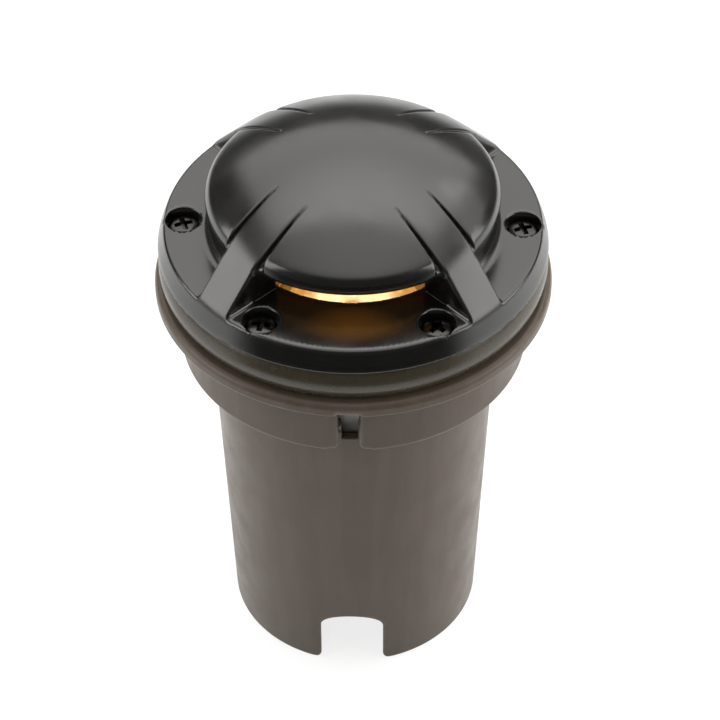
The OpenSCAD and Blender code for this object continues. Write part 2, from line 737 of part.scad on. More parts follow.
// Cast cover: a low dome with four strap ribs, four pockets and one slit under the front lip
module cover() {
    color(cover_black)
        translate([0, 0, cover_z])
            difference() {
                rotate_extrude()
                    polygon(concat(
                        [[0, 0],
                        [flange_r, 0],
                        [flange_r, cover_band_h]],
                        arc(band_centre[0], band_centre[1], rim_blend_r, band_a, flank_a, edge_steps),
                        arc(blend_centre[0], dome_centre_h + blend_centre[1], shoulder_blend_r,
                            flank_a, blend_end_a, edge_steps),
                        arc(0, dome_centre_h, dome_r, blend_end_a, 90, dome_steps)
                    ));
                for (i = [0:3])
                    pocket_space(i);
                for (i = [0:3])
                    for (side = [-1, 1])
                        rotate([0, 0, rib_a + 90 * i])
                            rib_groove(side);
                rotate_extrude()
                    polygon(concat(
                        [[0, pocket_floor_h],
                        [cavity_d / 2, pocket_floor_h]],
                        arc(0, dome_centre_h, dome_r - shell_t, acos(cavity_d / 2 / (dome_r - shell_t)), 90, dome_steps)
                    ));
                translate([0, 0, -over])
                    cylinder(h = pocket_floor_h + 2 * over, d = aperture_d);
                intersection() {
                    translate([0, 0, pocket_floor_h])
                        linear_extrude(lip_under_h - pocket_floor_h)
                            quarter(0, 2 * flange_r);
                    ring(shell_wall_d + 2 * cove_r + over, aperture_d, cover_h);
                }
                around(screw_count, screw_circle_d / 2) {
                    translate([0, 0, pocket_floor_h - counterbore_h])
                        cylinder(h = counterbore_h + over, d = counterbore_d);
                    translate([0, 0, -over])
                        cylinder(h = pocket_floor_h + over, d = screw_hole_d + 4 * screw_gap);
                }
            }
}

module cover_screws() {
    color(screw_black)
        around(screw_count, screw_circle_d / 2)
            translate([0, 0, head_seat_z])
                rotate([0, 0, screw_turn_a])
                    cross_screw(screw_d, head_seat_z - housing_z + screw_reach, screw_head_d, screw_head_h);
}

module screw_washers() {
    color(bare_steel)
        around(screw_count, screw_circle_d / 2)
            translate([0, 0, head_seat_z - screw_washer_t])
                ring(screw_washer_d, screw_hole_d, screw_washer_t);
}

module lens_glass() {
    bottom_z = ledge_z + lower_gasket_t;
    color(glass_clear)
        rotate_extrude()
            polygon([
                [0, bottom_z],
                [glass_d / 2 - glass_bevel, bottom_z],
                [glass_d / 2, bottom_z + glass_bevel],
                [glass_d / 2, bottom_z + glass_t - glass_bevel],
                [glass_d / 2 - glass_bevel, bottom_z + glass_t],
                [0, bottom_z + glass_t]
            ]);
}

module lower_gasket() {
    color(rubber_black)
        translate([0, 0, ledge_z])
            ring(glass_d, gasket_bore_d, lower_gasket_t);
}

module upper_gasket() {
    color(rubber_black)
        translate([0, 0, housing_z - upper_gasket_t])
            ring(glass_d, gasket_bore_d, upper_gasket_t);
}

// Bent strap along X: feet, legs and a top plate, with a hole for the swivel
module lamp_stand() {
    leg_h = stand_top_z - stand_foot_z;
    color(bare_steel)
        difference() {
            union() {
                translate([-stand_x, -stand_w / 2, stand_top_z - stand_t])
                    cube([stand_span, stand_w, stand_t]);
                for (side = [-1, 1]) {
                    translate([side * (stand_x - stand_t / 2) - stand_t / 2, -stand_w / 2, stand_foot_z])
                        cube([stand_t, stand_w, leg_h]);
                    translate([side * (stand_x + (stand_foot_l - stand_t) / 2) - (stand_foot_l + stand_t) / 2,
                        -stand_w / 2, stand_foot_z])
                        cube([stand_foot_l + stand_t, stand_w, stand_t]);
                }
            }
            translate([0, 0, stand_top_z - stand_t - over])
                cylinder(h = stand_t + 2 * over, d = swivel_d + 2 * screw_gap);
            for (side = [-1, 1])
                translate([side * stand_screw_x, 0, stand_foot_z - over])
                    cylinder(h = stand_t + 2 * over, d = stand_screw_d + 2 * screw_gap);
        }
}

module stand_screws() {
    color(bare_steel)
        for (side = [-1, 1])
            translate([side * stand_screw_x, 0, stand_foot_z + stand_t])
                cross_screw(stand_screw_d, stand_t + stand_screw_reach, stand_head_d, stand_head_h);
}

// Bent strap with two round-ended arms that carries the gimbal ring
module yoke() {
    arm_z = pivot_z - yoke_base_z;
    outer_r = yoke_bend_r + yoke_t;
    color(bare_steel)
        difference() {
            intersection() {
                translate([0, yoke_w / 2, yoke_base_z])
                    rotate([90, 0, 0])
                        linear_extrude(yoke_w)
                            polygon(concat(
                                arc(-yoke_outer_x + outer_r, -yoke_t + outer_r, outer_r, 180, 270, edge_steps),
                                arc(yoke_outer_x - outer_r, -yoke_t + outer_r, outer_r, 270, 360, edge_steps),
                                [[yoke_outer_x, arm_z + yoke_w / 2],
                                [yoke_span / 2, arm_z + yoke_w / 2]],
                                arc(yoke_span / 2 - yoke_bend_r, yoke_bend_r, yoke_bend_r, 0, -90, edge_steps),
                                arc(-yoke_span / 2 + yoke_bend_r, yoke_bend_r, yoke_bend_r, -90, -180, edge_steps),
                                [[-yoke_span / 2, arm_z + yoke_w / 2],
                                [-yoke_outer_x, arm_z + yoke_w / 2]]
                            ));
                union() {
                    translate([-yoke_outer_x - over, -yoke_w, yoke_base_z - yoke_t - over])
                        cube([2 * yoke_outer_x + 2 * over, 2 * yoke_w, arm_z + yoke_t + over]);
                    translate([-yoke_outer_x - over, 0, pivot_z])
                        rotate([0, 90, 0])
                            cylinder(h = 2 * yoke_outer_x + 2 * over, d = yoke_w);
                }
            }
            translate([-yoke_outer_x - over, 0, pivot_z])
                rotate([0, 90, 0])
                    cylinder(h = 2 * yoke_outer_x + 2 * over, d = pivot_d + 2 * running_gap);
            translate([0, 0, yoke_base_z - yoke_t - over])
                cylinder(h = yoke_t + 2 * over, d = swivel_d + 2 * running_gap);
        }
}

module swivel_screw() {
    seat_z = yoke_base_z + seat_gap + swivel_washer_t;
    color(bare_steel)
        translate([0, 0, seat_z])
            cross_screw(swivel_d, seat_z - stand_top_z + stand_t + swivel_nut_h, swivel_head_d, swivel_head_h);
}

module swivel_washer() {
    color(bare_steel)
        translate([0, 0, yoke_base_z + seat_gap])
            ring(swivel_head_d, swivel_d + 2 * screw_gap, swivel_washer_t);
}

module swivel_nut() {
    color(bare_steel)
        translate([0, 0, stand_top_z - stand_t - swivel_nut_h])
            difference() {
                hexagon(swivel_nut_af, swivel_nut_h);
                translate([0, 0, -over])
                    cylinder(h = swivel_nut_h + 2 * over, d = swivel_d + 2 * screw_gap);
            }
}

// Ring that holds the lamp, with a ledge below, a groove for the spring and two pivot bosses
module gimbal_ring() {
    color(bare_steel)
        difference() {
            union() {
                translate([0, 0, pivot_z - gimbal_h / 2])
                    cylinder(h = gimbal_h, d = gimbal_d);
                translate([-washer_x, 0, pivot_z])
                    rotate([0, 90, 0])
                        cylinder(h = 2 * washer_x, d = pivot_boss_d);
            }
            translate([0, 0, lamp_seat_z])
                cylinder(h = gimbal_h, d = gimbal_bore_d);
            translate([0, 0, pivot_z - gimbal_h / 2 - over])
                cylinder(h = gimbal_h, d = gimbal_ledge_d);
            rotate_extrude()
                translate([retainer_ring_r, retainer_z])
                    circle(d = retainer_wire_d + 2 * running_gap, $fn = 32);
            for (side = [-1, 1])
                translate([side * (gimbal_bore_d / 2 - over), 0, pivot_z])
                    rotate([0, side * 90, 0])
                        cylinder(h = washer_x, d = pivot_d + 2 * screw_gap);
        }
}

// Screws through the yoke's arms into the gimbal ring
module pivot_screws() {
    color(bare_brass)
        for (side = [-1, 1])
            translate([side * (yoke_outer_x + running_gap), 0, pivot_z])
                rotate([0, side * 90, 0])
                    cross_screw(pivot_d, yoke_outer_x - gimbal_bore_d / 2 - lamp_gap, pivot_head_d, pivot_head_h);
}

module pivot_washers() {
    color(lamp_white)
        for (side = [-1, 1])
            translate([side * washer_x, 0, pivot_z])
                rotate([0, side * 90, 0])
                    ring(pivot_head_d, pivot_d + 2 * screw_gap, pivot_washer_t);
}

module lamp_retainer() {
    color(bare_steel)
        rotate([0, 0, -90 + retainer_open_a / 2])
            rotate_extrude(angle = 360 - retainer_open_a)
                translate([retainer_ring_r, retainer_z])
                    circle(d = retainer_wire_d, $fn = 32);
}

// Cast body of the lamp: a cup for the board and the optic over a ring of tapering fins
module lamp_heatsink() {
    cup_h = lamp_front_z - led_board_z + led_board_t;
    color(lamp_grey)
        difference() {
            union() {
                translate([0, 0, lamp_seat_z])
                    cylinder(h = lamp_rim_h, d = lamp_d);
                translate([0, 0, lamp_front_z - cup_h])
                    cylinder(h = cup_h - lamp_rim_h / 2, d = gimbal_ledge_d - 2 * lamp_gap);
                translate([0, 0, lamp_fin_z])
                    cylinder(h = lamp_fin_h, d = lamp_neck_d - 2 * fin_t);
                intersection() {
                    translate([0, 0, lamp_fin_z])
                        rotate_extrude()
                            polygon([
                                [0, 0],
                                [lamp_neck_d / 2, 0],
                                [gimbal_ledge_d / 2 - lamp_gap, lamp_fin_h - (cup_h - lamp_rim_h) / 2],
                                [0, lamp_fin_h - (cup_h - lamp_rim_h) / 2]
                            ]);
                    for (i = [0:fin_count - 1])
                        rotate([0, 0, 360 * i / fin_count])
                            translate([0, -fin_t / 2, lamp_fin_z])
                                cube([lamp_d, fin_t, lamp_fin_h]);
                }
            }
            translate([0, 0, led_board_z])
                cylinder(h = lamp_d, d = optic_d);
        }
}

module led_board() {
    color(lamp_white)
        translate([0, 0, led_board_z]) {
            cylinder(h = led_board_t, d = led_board_d);
            translate([0, 0, led_board_t / 2])
                cylinder(h = led_board_t / 2 + led_h, d = led_d);
        }
}

module lamp_optic() {
    color(glass_clear)
        translate([0, 0, optic_z])
            cylinder(h = optic_t, d = led_board_d);
}

// Block with rounded upright edges, centred on the axis
module rounded_block(l, w, h, r) {
    linear_extrude(h)
        union() {
            square([l - 2 * r, w], center = true);
            square([l, w - 2 * r], center = true);
            for (x = [-1, 1])
                for (y = [-1, 1])
                    translate([x * (l / 2 - r), y * (w / 2 - r)])
                        circle(r = r);
        }
}

module lamp_base() {
    color(ceramic_white)
        translate([0, 0, lamp_base_z])
            rounded_block(base_l, base_w, base_h, socket_r);
}

module lamp_pins() {
    color(bare_steel)
        for (side = [-1, 1])
            translate([side * pin_pitch / 2, 0, lamp_base_z - pin_l])
                cylinder(h = pin_l, d = pin_d);
}

// Ceramic block that the lamp's base plugs into
module lamp_socket() {
    color(ceramic_white)
        difference() {
            translate([0, 0, socket_z])
                rounded_block(socket_l, socket_w, socket_h, socket_r);
            translate([0, 0, lamp_base_z])
                rounded_block(base_l + 2 * running_gap, base_w + 2 * running_gap, base_h, socket_r);
            for (side = [-1, 1])
                translate([side * pin_pitch / 2, 0, lamp_base_z - pin_l - running_gap])
                    cylinder(h = base_h, d = pin_d + 2 * running_gap);
        }
}

// Two insulated leads: out of the socket, over the yoke's edge and down to the terminals
module socket_leads() {
    start_y = socket_w / 2 - lead_d;
    run_y = terminal_y - start_y - 2 * lead_bend_r;
    color(rubber_black)
        for (side = [-1, 1])
            translate([side * lead_pitch / 2, start_y, 0])
                rotate([90, 0, 90]) {
                    translate([lead_bend_r, socket_z])
                        rotate([0, 0, 180])
                            rotate_extrude(angle = 90)
                                translate([lead_bend_r, 0])
                                    circle(d = lead_d, $fn = 32);
                    translate([lead_bend_r, lead_z])
                        rotate([0, 90, 0])
                            cylinder(h = run_y, d = lead_d);
                    translate([lead_bend_r + run_y, lead_z - lead_bend_r])
                        rotate_extrude(angle = 90)
                            translate([lead_bend_r, 0])
                                circle(d = lead_d, $fn = 32);
                    translate([2 * lead_bend_r + run_y, lead_end_z])
                        rotate([-90, 0, 0])
                            cylinder(h = lead_z - lead_bend_r - lead_end_z, d = lead_d);
                }
}

// Nylon block on the canister's floor where the supply joins the leads
module terminal_block() {
    color(nylon_black)
        difference() {
            translate([-terminal_l / 2, terminal_y - terminal_w / 2, inner_floor_z])
                cube([terminal_l, terminal_w, terminal_h]);
            for (side = [-1, 1]) {
                translate([side * lead_pitch / 2, terminal_y - terminal_w / 2 - over, inner_floor_z + terminal_h / 3])
                    rotate([-90, 0, 0])
                        cylinder(h = terminal_w + 2 * over, d = 2 * lead_d);
                translate([side * terminal_screw_x, terminal_y, terminal_screw_z])
                    cylinder(h = terminal_h, d = terminal_screw_d);
            }
        }
}

module terminal_screws() {
    color(bare_brass)
        for (side = [-1, 1])
            translate([side * terminal_screw_x, terminal_y, terminal_screw_z])
                difference() {
                    cylinder(h = terminal_h / 4, d = terminal_screw_d - 2 * screw_gap);
                    translate([-terminal_screw_d, -slot_w / 2, terminal_h / 8])
                        cube([2 * terminal_screw_d, slot_w, terminal_h]);
                }
}

// Gland through the canister's floor: hexagon, threads above and below, and a stepped bore
module gland_body() {
    color(nylon_black)
        difference() {
            union() {
                translate([0, 0, gland_hex_z])
                    hexagon(gland_af, gland_hex_h);
                translate([0, 0, gland_hex_z])
                    cylinder(h = gland_hex_h + gland_thread_h, d = gland_thread_d);
                translate([0, 0, gland_lower_z])
                    cylinder(h = gland_lower_h + gland_hex_h / 2, d = gland_lower_d);
            }
            translate([0, 0, gland_lower_z - over])
                cylinder(h = gland_lower_h + gland_hex_h + gland_thread_h + 2 * over, d = gland_bore_d);
            translate([0, 0, gland_lower_z - over])
                cylinder(h = gland_seal_h - seat_gap + over, d = gland_seal_d + 2 * screw_gap);
        }
}

module gland_washer() {
    color(rubber_black)
        translate([0, 0, housing_foot_z - gland_washer_t])
            ring(gland_af, gland_thread_d + 2 * screw_gap, gland_washer_t);
}

module gland_locknut() {
    color(nylon_black)
        translate([0, 0, inner_floor_z])
            difference() {
                hexagon(gland_locknut_af, gland_locknut_h);
                translate([0, 0, -over])
                    cylinder(h = gland_locknut_h + 2 * over, d = gland_thread_d + 2 * screw_gap);
            }
}

module gland_seal() {
    color(rubber_black)
        translate([0, 0, gland_seal_z])
            ring(gland_seal_d, gland_seal_bore_d, gland_seal_h);
}

// Fluted cap nut that squeezes the seal round the cable
module gland_nut() {
    color(nylon_black)
        translate([0, 0, gland_nut_z])
            difference() {
                rotate_extrude()
                    polygon([
                        [0, 0],
                        [gland_seal_d / 2 + rim_r, 0],
                        [gland_nut_d / 2, gland_nut_end_t],
                        [gland_nut_d / 2, gland_nut_h],
                        [0, gland_nut_h]
                    ]);
                translate([0, 0, -over])
                    cylinder(h = gland_nut_h, d = cable_hole_d);
                translate([0, 0, gland_nut_end_t])
                    cylinder(h = gland_nut_h, d = gland_lower_d + 2 * screw_gap);
                around(flute_count, gland_nut_d / 2)
                    translate([0, 0, -over])
                        cylinder(h = gland_nut_h + 2 * over, d = flute_d);
            }
}

ground_sleeve();
lamp_housing();
cover();
cover_screws();
screw_washers();
lens_glass();
upper_gasket();
lower_gasket();
lamp_stand();
stand_screws();
yoke();
swivel_screw();
swivel_washer();
swivel_nut();
gimbal_ring();
pivot_screws();
pivot_washers();
lamp_retainer();
lamp_heatsink();
led_board();
lamp_optic();
lamp_base();
lamp_pins();
lamp_socket();
socket_leads();
terminal_block();
terminal_screws();
gland_body();
gland_washer();
gland_locknut();
gland_seal();
gland_nut();
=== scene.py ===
"""In ground well light: a shielded cover on a cast housing in a ground sleeve, dressed over its CAD frame.

Sizes in the classes are millimetres in the part's own frame; meshes are made in metres.
"""

import json
import logging
import math
from dataclasses import dataclass
from enum import Enum
from functools import cache
from typing import Any, Callable, Optional, Sequence, Union

import bpy
import numpy as np
from mathutils import Matrix, Vector

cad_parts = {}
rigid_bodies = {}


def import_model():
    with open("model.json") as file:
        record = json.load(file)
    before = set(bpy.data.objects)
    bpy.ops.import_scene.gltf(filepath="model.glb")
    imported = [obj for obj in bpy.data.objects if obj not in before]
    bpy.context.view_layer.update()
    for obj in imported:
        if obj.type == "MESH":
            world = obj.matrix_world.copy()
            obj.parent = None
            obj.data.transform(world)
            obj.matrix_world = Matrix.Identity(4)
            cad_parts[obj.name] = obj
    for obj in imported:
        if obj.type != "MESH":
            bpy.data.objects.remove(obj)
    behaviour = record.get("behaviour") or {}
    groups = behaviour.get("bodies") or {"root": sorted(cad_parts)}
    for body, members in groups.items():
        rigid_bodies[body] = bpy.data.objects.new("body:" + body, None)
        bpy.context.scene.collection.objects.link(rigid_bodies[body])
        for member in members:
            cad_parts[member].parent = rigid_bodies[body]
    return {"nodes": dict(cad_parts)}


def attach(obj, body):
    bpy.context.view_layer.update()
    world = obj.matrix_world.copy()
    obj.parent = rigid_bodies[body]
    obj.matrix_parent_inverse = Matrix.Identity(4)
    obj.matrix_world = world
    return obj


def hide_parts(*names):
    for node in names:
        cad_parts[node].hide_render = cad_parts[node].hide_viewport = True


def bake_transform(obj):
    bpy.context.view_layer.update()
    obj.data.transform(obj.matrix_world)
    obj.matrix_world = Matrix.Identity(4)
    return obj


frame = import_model()

MM = 0.001
LOG = logging.getLogger("well_light")
Array = np.ndarray
Object = bpy.types.Object
Scalar = Union[float, int, "Wire"]
Colour = tuple[float, float, float]
Point = tuple[float, float]
Place = tuple[float, float, float]
Field = Callable[[Array, Array, Array], Array]
Places = tuple[Array, Array, Array]
Placing = Callable[[Array, Array, Array], Places]

# Share of a diagonal step that goes along each axis
DIAGONAL = math.sqrt(0.5)

# Entries of a symmetric matrix by name
PAIRS = {"xx": (0, 0), "xy": (0, 1), "xz": (0, 2), "yy": (1, 1), "yz": (1, 2), "zz": (2, 2)}


# Node trees


class Wire:
    """The value of one socket in a node tree; arithmetic on it adds Math nodes."""

    def __init__(self, tree: "Tree", socket: bpy.types.NodeSocket) -> None:
        """Keeps the tree that new nodes go to and the socket that holds the value."""
        self.tree = tree
        self.socket = socket

    def _math(self, operation: str, *values: Scalar, clamp: bool = False) -> "Wire":
        """Adds one Math node with its inputs in order, and gives its result."""
        return self.tree.wire("ShaderNodeMath", dict(enumerate(values)), operation=operation, use_clamp=clamp)

    def __add__(self, other: Scalar) -> "Wire":
        """Sum."""
        return self._math("ADD", self, other)

    def __radd__(self, other: Scalar) -> "Wire":
        """Sum with a number on the left."""
        return self._math("ADD", other, self)

    def __sub__(self, other: Scalar) -> "Wire":
        """Difference."""
        return self._math("SUBTRACT", self, other)

    def __rsub__(self, other: Scalar) -> "Wire":
        """Difference with a number on the left."""
        return self._math("SUBTRACT", other, self)

    def __mul__(self, other: Scalar) -> "Wire":
        """Product."""
        return self._math("MULTIPLY", self, other)

    def __rmul__(self, other: Scalar) -> "Wire":
        """Product with a number on the left."""
        return self._math("MULTIPLY", other, self)

    def __truediv__(self, other: Scalar) -> "Wire":
        """Quotient."""
        return self._math("DIVIDE", self, other)

    def __rtruediv__(self, other: Scalar) -> "Wire":
        """Quotient with a number on the left."""
        return self._math("DIVIDE", other, self)

    def __pow__(self, other: Scalar) -> "Wire":
        """Power."""
        return self._math("POWER", self, other)

    def above(self, edge: Scalar) -> "Wire":
        """1 where the value is above the edge, 0 elsewhere."""
        return self._math("GREATER_THAN", self, edge)

    def clamped(self) -> "Wire":
        """The value held between 0 and 1."""
        return self._math("ADD", self, 0.0, clamp=True)

    def ramp(self, low: float, high: float, to_low: float = 0.0, to_high: float = 1.0) -> "Wire":
        """Maps the range from low to high to another one, smoothly and without overshoot."""
        inputs = {"Value": self, "From Min": low, "From Max": high, "To Min": to_low, "To Max": to_high}
        return self.tree.wire("ShaderNodeMapRange", inputs, interpolation_type="SMOOTHSTEP")


class Tree:
    """Short calls for building a shader or geometry node tree."""

    def __init__(self, tree: bpy.types.NodeTree) -> None:
        """Keeps the Blender tree that is built."""
        self.tree = tree

    def node(self, kind: str, inputs: Optional[dict[Union[str, int], Any]] = None,
             **settings: Any) -> bpy.types.Node:
        """Adds a node, sets its properties and fills its inputs.

        Args:
            kind: Blender's name of the node's type.
            inputs: Values or wires by the input's name or number.
            settings: Properties of the node.

        Returns:
            The new node.
        """
        made = self.tree.nodes.new(kind)
        for name, value in settings.items():
            setattr(made, name, value)
        for key, value in (inputs or {}).items():
            self.put(made.inputs[key], value)
        return made

    def wire(self, kind: str, inputs: Optional[dict[Union[str, int], Any]] = None,
             out: Union[str, int] = 0, **settings: Any) -> Wire:
        """Adds a node and gives one of its outputs, by name or number."""
        return Wire(self, self.node(kind, inputs, **settings).outputs[out])

    def put(self, socket: bpy.types.NodeSocket, value: Any) -> None:
        """Links wires to a socket, or sets the socket's own value.

        Args:
            socket: Input that takes the value.
            value: A wire or a list of them, a number, a colour or a data block.
        """
        if isinstance(value, (Wire, list)):
            for wire in value if isinstance(value, list) else [value]:
                self.tree.links.new(wire.socket, socket)
        elif isinstance(value, tuple) and len(value) == 3 and socket.type == "RGBA":
            socket.default_value = (*value, 1.0)
        else:
            socket.default_value = value

    def noise(self, at: Wire, size: float, detail: float = 2.0, rough: float = 0.5) -> Wire:
        """Noise round 0.5 with features of a size in millimetres."""
        return self.wire("ShaderNodeTexNoise", {"Vector": at, "Scale": 1 / (size * MM), "Detail": detail,
                                                "Roughness": rough})

    def blend(self, share: Scalar, first: Any, second: Any) -> Wire:
        """Mixes two colours by a share from 0 to 1."""
        return self.wire("ShaderNodeMix", {0: share, 6: first, 7: second}, out=2, data_type="RGBA")

    def stretched(self, at: Wire, by: Place) -> Wire:
        """The position scaled along each axis, so that a pattern runs in one direction."""
        return self.wire("ShaderNodeMapping", {"Vector": at, "Scale": by})

    def parts(self, at: Wire) -> tuple[Wire, Wire, Wire]:
        """The position's three components."""
        x, y, z = self.node("ShaderNodeSeparateXYZ", {0: at}).outputs
        return Wire(self, x), Wire(self, y), Wire(self, z)

    def length(self, at: Wire) -> Wire:
        """The position's distance from the origin."""
        return self.wire("ShaderNodeVectorMath", {0: at}, out="Value", operation="LENGTH")

    def edge(self) -> Wire:
        """How sharply the piece turns outwards here, as its mesh keeps it."""
        return self.wire("ShaderNodeAttribute", out="Fac", attribute_name="edge")


def new_object(name: str, data: Any) -> Object:
    """Adds an object to the scene.

    Args:
        name: Its name.
        data: Its mesh, curve, light or camera.

    Returns:
        The object, at the origin.
    """
    made = bpy.data.objects.new(name, data)
    bpy.context.scene.collection.objects.link(made)
    return made


def blank_material(name: str) -> tuple[bpy.types.Material, Tree]:
    """A new material with its empty node tree.

    Args:
        name: The material's name.

    Returns:
        The material and its tree.
    """
    material = bpy.data.materials.new(name)
    material.use_nodes = True
    material.node_tree.nodes.clear()
    return material, Tree(material.node_tree)


# Finishes


@dataclass(frozen=True)
class Finish:
    """Surface of one material, with its colour, gloss and fine relief.

    Attributes:
        slot: The record's material slot.
        colour: Linear base colour.
        rough: Roughness in the middle of its range.
        metal: 1 for bare metal, 0 for the rest.
        mottle: Share by which the colour varies over a few centimetres.
        grain_mm: Size of the fine relief.
        grain_depth_mm: Depth of the fine relief.
        gloss_spread: How far the roughness varies.
        shine: Strength of the reflection at a steep view, 0.5 for plain plastic.
        cloud_mm: Size of the slow mottle.
        speckle: Size of the fine speckle, in grains.
        patch_mm: Size of the patches of gloss.
        spread: Values of a noise between which a soft pattern runs.
    """

    slot: str
    colour: Colour
    rough: float = 0.5
    metal: float = 0.0
    mottle: float = 0.08
    grain_mm: float = 0.6
    grain_depth_mm: float = 0.01
    gloss_spread: float = 0.08
    shine: float = 0.5
    cloud_mm: float = 22.0
    speckle: float = 1.7
    patch_mm: float = 9.0
    spread: Point = (0.3, 0.7)

    def make(self) -> bpy.types.Material:
        """Builds the material.

        Returns:
            A material named after the slot.
        """
        material, tree = blank_material(f"{self.slot}_finish")
        at = tree.wire("ShaderNodeTexCoord", out="Object")
        shader = tree.node("ShaderNodeBsdfPrincipled")
        shader.inputs["Metallic"].default_value = self.metal
        shader.inputs["Specular IOR Level"].default_value = self.shine
        self.dress(tree, shader, at)
        output = tree.node("ShaderNodeOutputMaterial")
        tree.tree.links.new(self.surface(tree, shader, at), output.inputs["Surface"])
        return material

    def surface(self, tree: Tree, shader: bpy.types.Node, at: Wire) -> bpy.types.NodeSocket:
        """The shader that reaches the output."""
        return shader.outputs[0]

    def dress(self, tree: Tree, shader: bpy.types.Node, at: Wire) -> None:
        """Fills the shader's inputs.

        Args:
            tree: The material's tree.
            shader: Its Principled shader.
            at: Position on the object, in metres.
        """
        tree.put(shader.inputs["Base Color"], self.tint(tree, at))
        tree.put(shader.inputs["Roughness"], self.gloss(tree, at))
        tree.put(shader.inputs["Normal"], self.relief(tree, at))

    def tint(self, tree: Tree, at: Wire) -> Wire:
        """Base colour with a slow mottle and a fine speckle.

        Args:
            tree: The material's tree.
            at: Position on the object, in metres.

        Returns:
            The colour.
        """
        darker = tuple(c * (1 - self.mottle) for c in self.colour)
        lighter = tuple(c * (1 + self.mottle) for c in self.colour)
        speckle = tree.noise(at, self.grain_mm * self.speckle, 1.0)
        cloud = tree.noise(at, self.cloud_mm, 3.0) * 0.6 + speckle * 0.4
        return tree.blend(cloud.ramp(*self.spread), darker, lighter)

    def gloss(self, tree: Tree, at: Wire) -> Wire:
        """Roughness that varies in soft patches."""
        patch = tree.noise(at, self.patch_mm, 3.0)
        return patch.ramp(*self.spread, self.rough - self.gloss_spread, self.rough + self.gloss_spread)

    def relief(self, tree: Tree, at: Wire) -> Wire:
        """Normal with the fine grain."""
        return self.bumped(tree, tree.noise(at, self.grain_mm, 2.0))

    def bumped(self, tree: Tree, height: Wire) -> Wire:
        """Turns a height from 0 to 1 into a normal, over the grain's depth."""
        depth = self.grain_depth_mm * MM
        return tree.wire("ShaderNodeBump", {"Height": height, "Strength": 1.0, "Distance": depth})


@dataclass(frozen=True)
class CastPaint(Finish):
    """Powder paint on a casting: orange peel over faint waves, edges that shine from handling and a trace of
    dust.

    Attributes:
        edge_colour: Colour that shows through along worn edges.
        edge_share: How strongly it shows.
        dust: Share of pale dust that settles in patches.
        dust_colour: Colour of the dust.
        wear_mm: Size of the patches of wear.
        wear: Values of that noise between which the wear comes in.
        speck_mm: Size of a speck of dust.
        specks: Values of that noise between which a speck comes in.
        drift_mm: Size of the patches of dust.
        drifts: Values of that noise between which a patch comes in.
    """

    edge_colour: Colour = (0.05, 0.05, 0.048)
    edge_share: float = 0.5
    dust: float = 0.03
    dust_colour: Colour = (0.4, 0.39, 0.37)
    wear_mm: float = 3.0
    wear: Point = (0.35, 0.7)
    speck_mm: float = 0.5
    specks: Point = (0.66, 0.74)
    drift_mm: float = 14.0
    drifts: Point = (0.45, 0.7)

    def tint(self, tree: Tree, at: Wire) -> Wire:
        """Paint colour, lighter on rubbed edges, with a trace of dust.

        Args:
            tree: The material's tree.
            at: Position on the object, in metres.

        Returns:
            The colour.
        """
        paint = Finish.tint(self, tree, at)
        patchy = tree.noise(at, self.wear_mm, 3.0, 0.6).ramp(*self.wear)
        worn = tree.blend((tree.edge() * patchy * self.edge_share).clamped(), paint, self.edge_colour)
        specks = tree.noise(at, self.speck_mm, 1.0).ramp(*self.specks)
        drifts = tree.noise(at, self.drift_mm, 2.0).ramp(*self.drifts)
        return tree.blend((specks * drifts * self.dust).clamped(), worn, self.dust_colour)

    def relief(self, tree: Tree, at: Wire) -> Wire:
        """Orange peel over the faint waves of the casting."""
        peel, wave = tree.noise(at, self.grain_mm, 1.5, 0.4), tree.noise(at, self.grain_mm * 9, 2.0)
        return self.bumped(tree, peel * 0.7 + wave * 0.3)


@dataclass(frozen=True)
class PartCoat(CastPaint):
    """Cast paint on the part that is seen, over a grey primer that stays bare below it.

    Attributes:
        primer: Colour of the primer.
        coat_mm: Height down to which the paint reaches.
        ragged_mm: Height of the ragged edge.
        overspray_mm: Half the height over which the paint thins out.
        tongue_mm: Size of the edge's tongues.
        stain_mm: Size of the primer's stains.
        stain: Share of the primer's colour in a stain.
    """

    primer: Colour = (0.6, 0.59, 0.55)
    coat_mm: float = 133.0
    ragged_mm: float = 3.0
    overspray_mm: float = 0.8
    tongue_mm: float = 2.5
    stain_mm: float = 14.0
    stain: float = 0.85

    def tint(self, tree: Tree, at: Wire) -> Wire:
        """Paint above, primer below, with a ragged edge of overspray.

        Args:
            tree: The material's tree.
            at: Position on the object, in metres.

        Returns:
            The colour.
        """
        paint = CastPaint.tint(self, tree, at)
        tongues = tree.noise(at, self.tongue_mm, 4.0, 0.6) - 0.5
        ragged = tree.parts(at)[2] + tongues * (self.ragged_mm * MM)
        stains = tree.noise(at, self.stain_mm, 3.0).ramp(*self.spread)
        bare = tree.blend(stains, tuple(c * self.stain for c in self.primer), self.primer)
        low, high = (self.coat_mm - self.overspray_mm) * MM, (self.coat_mm + self.overspray_mm) * MM
        return tree.blend(ragged.ramp(low, high), bare, paint)


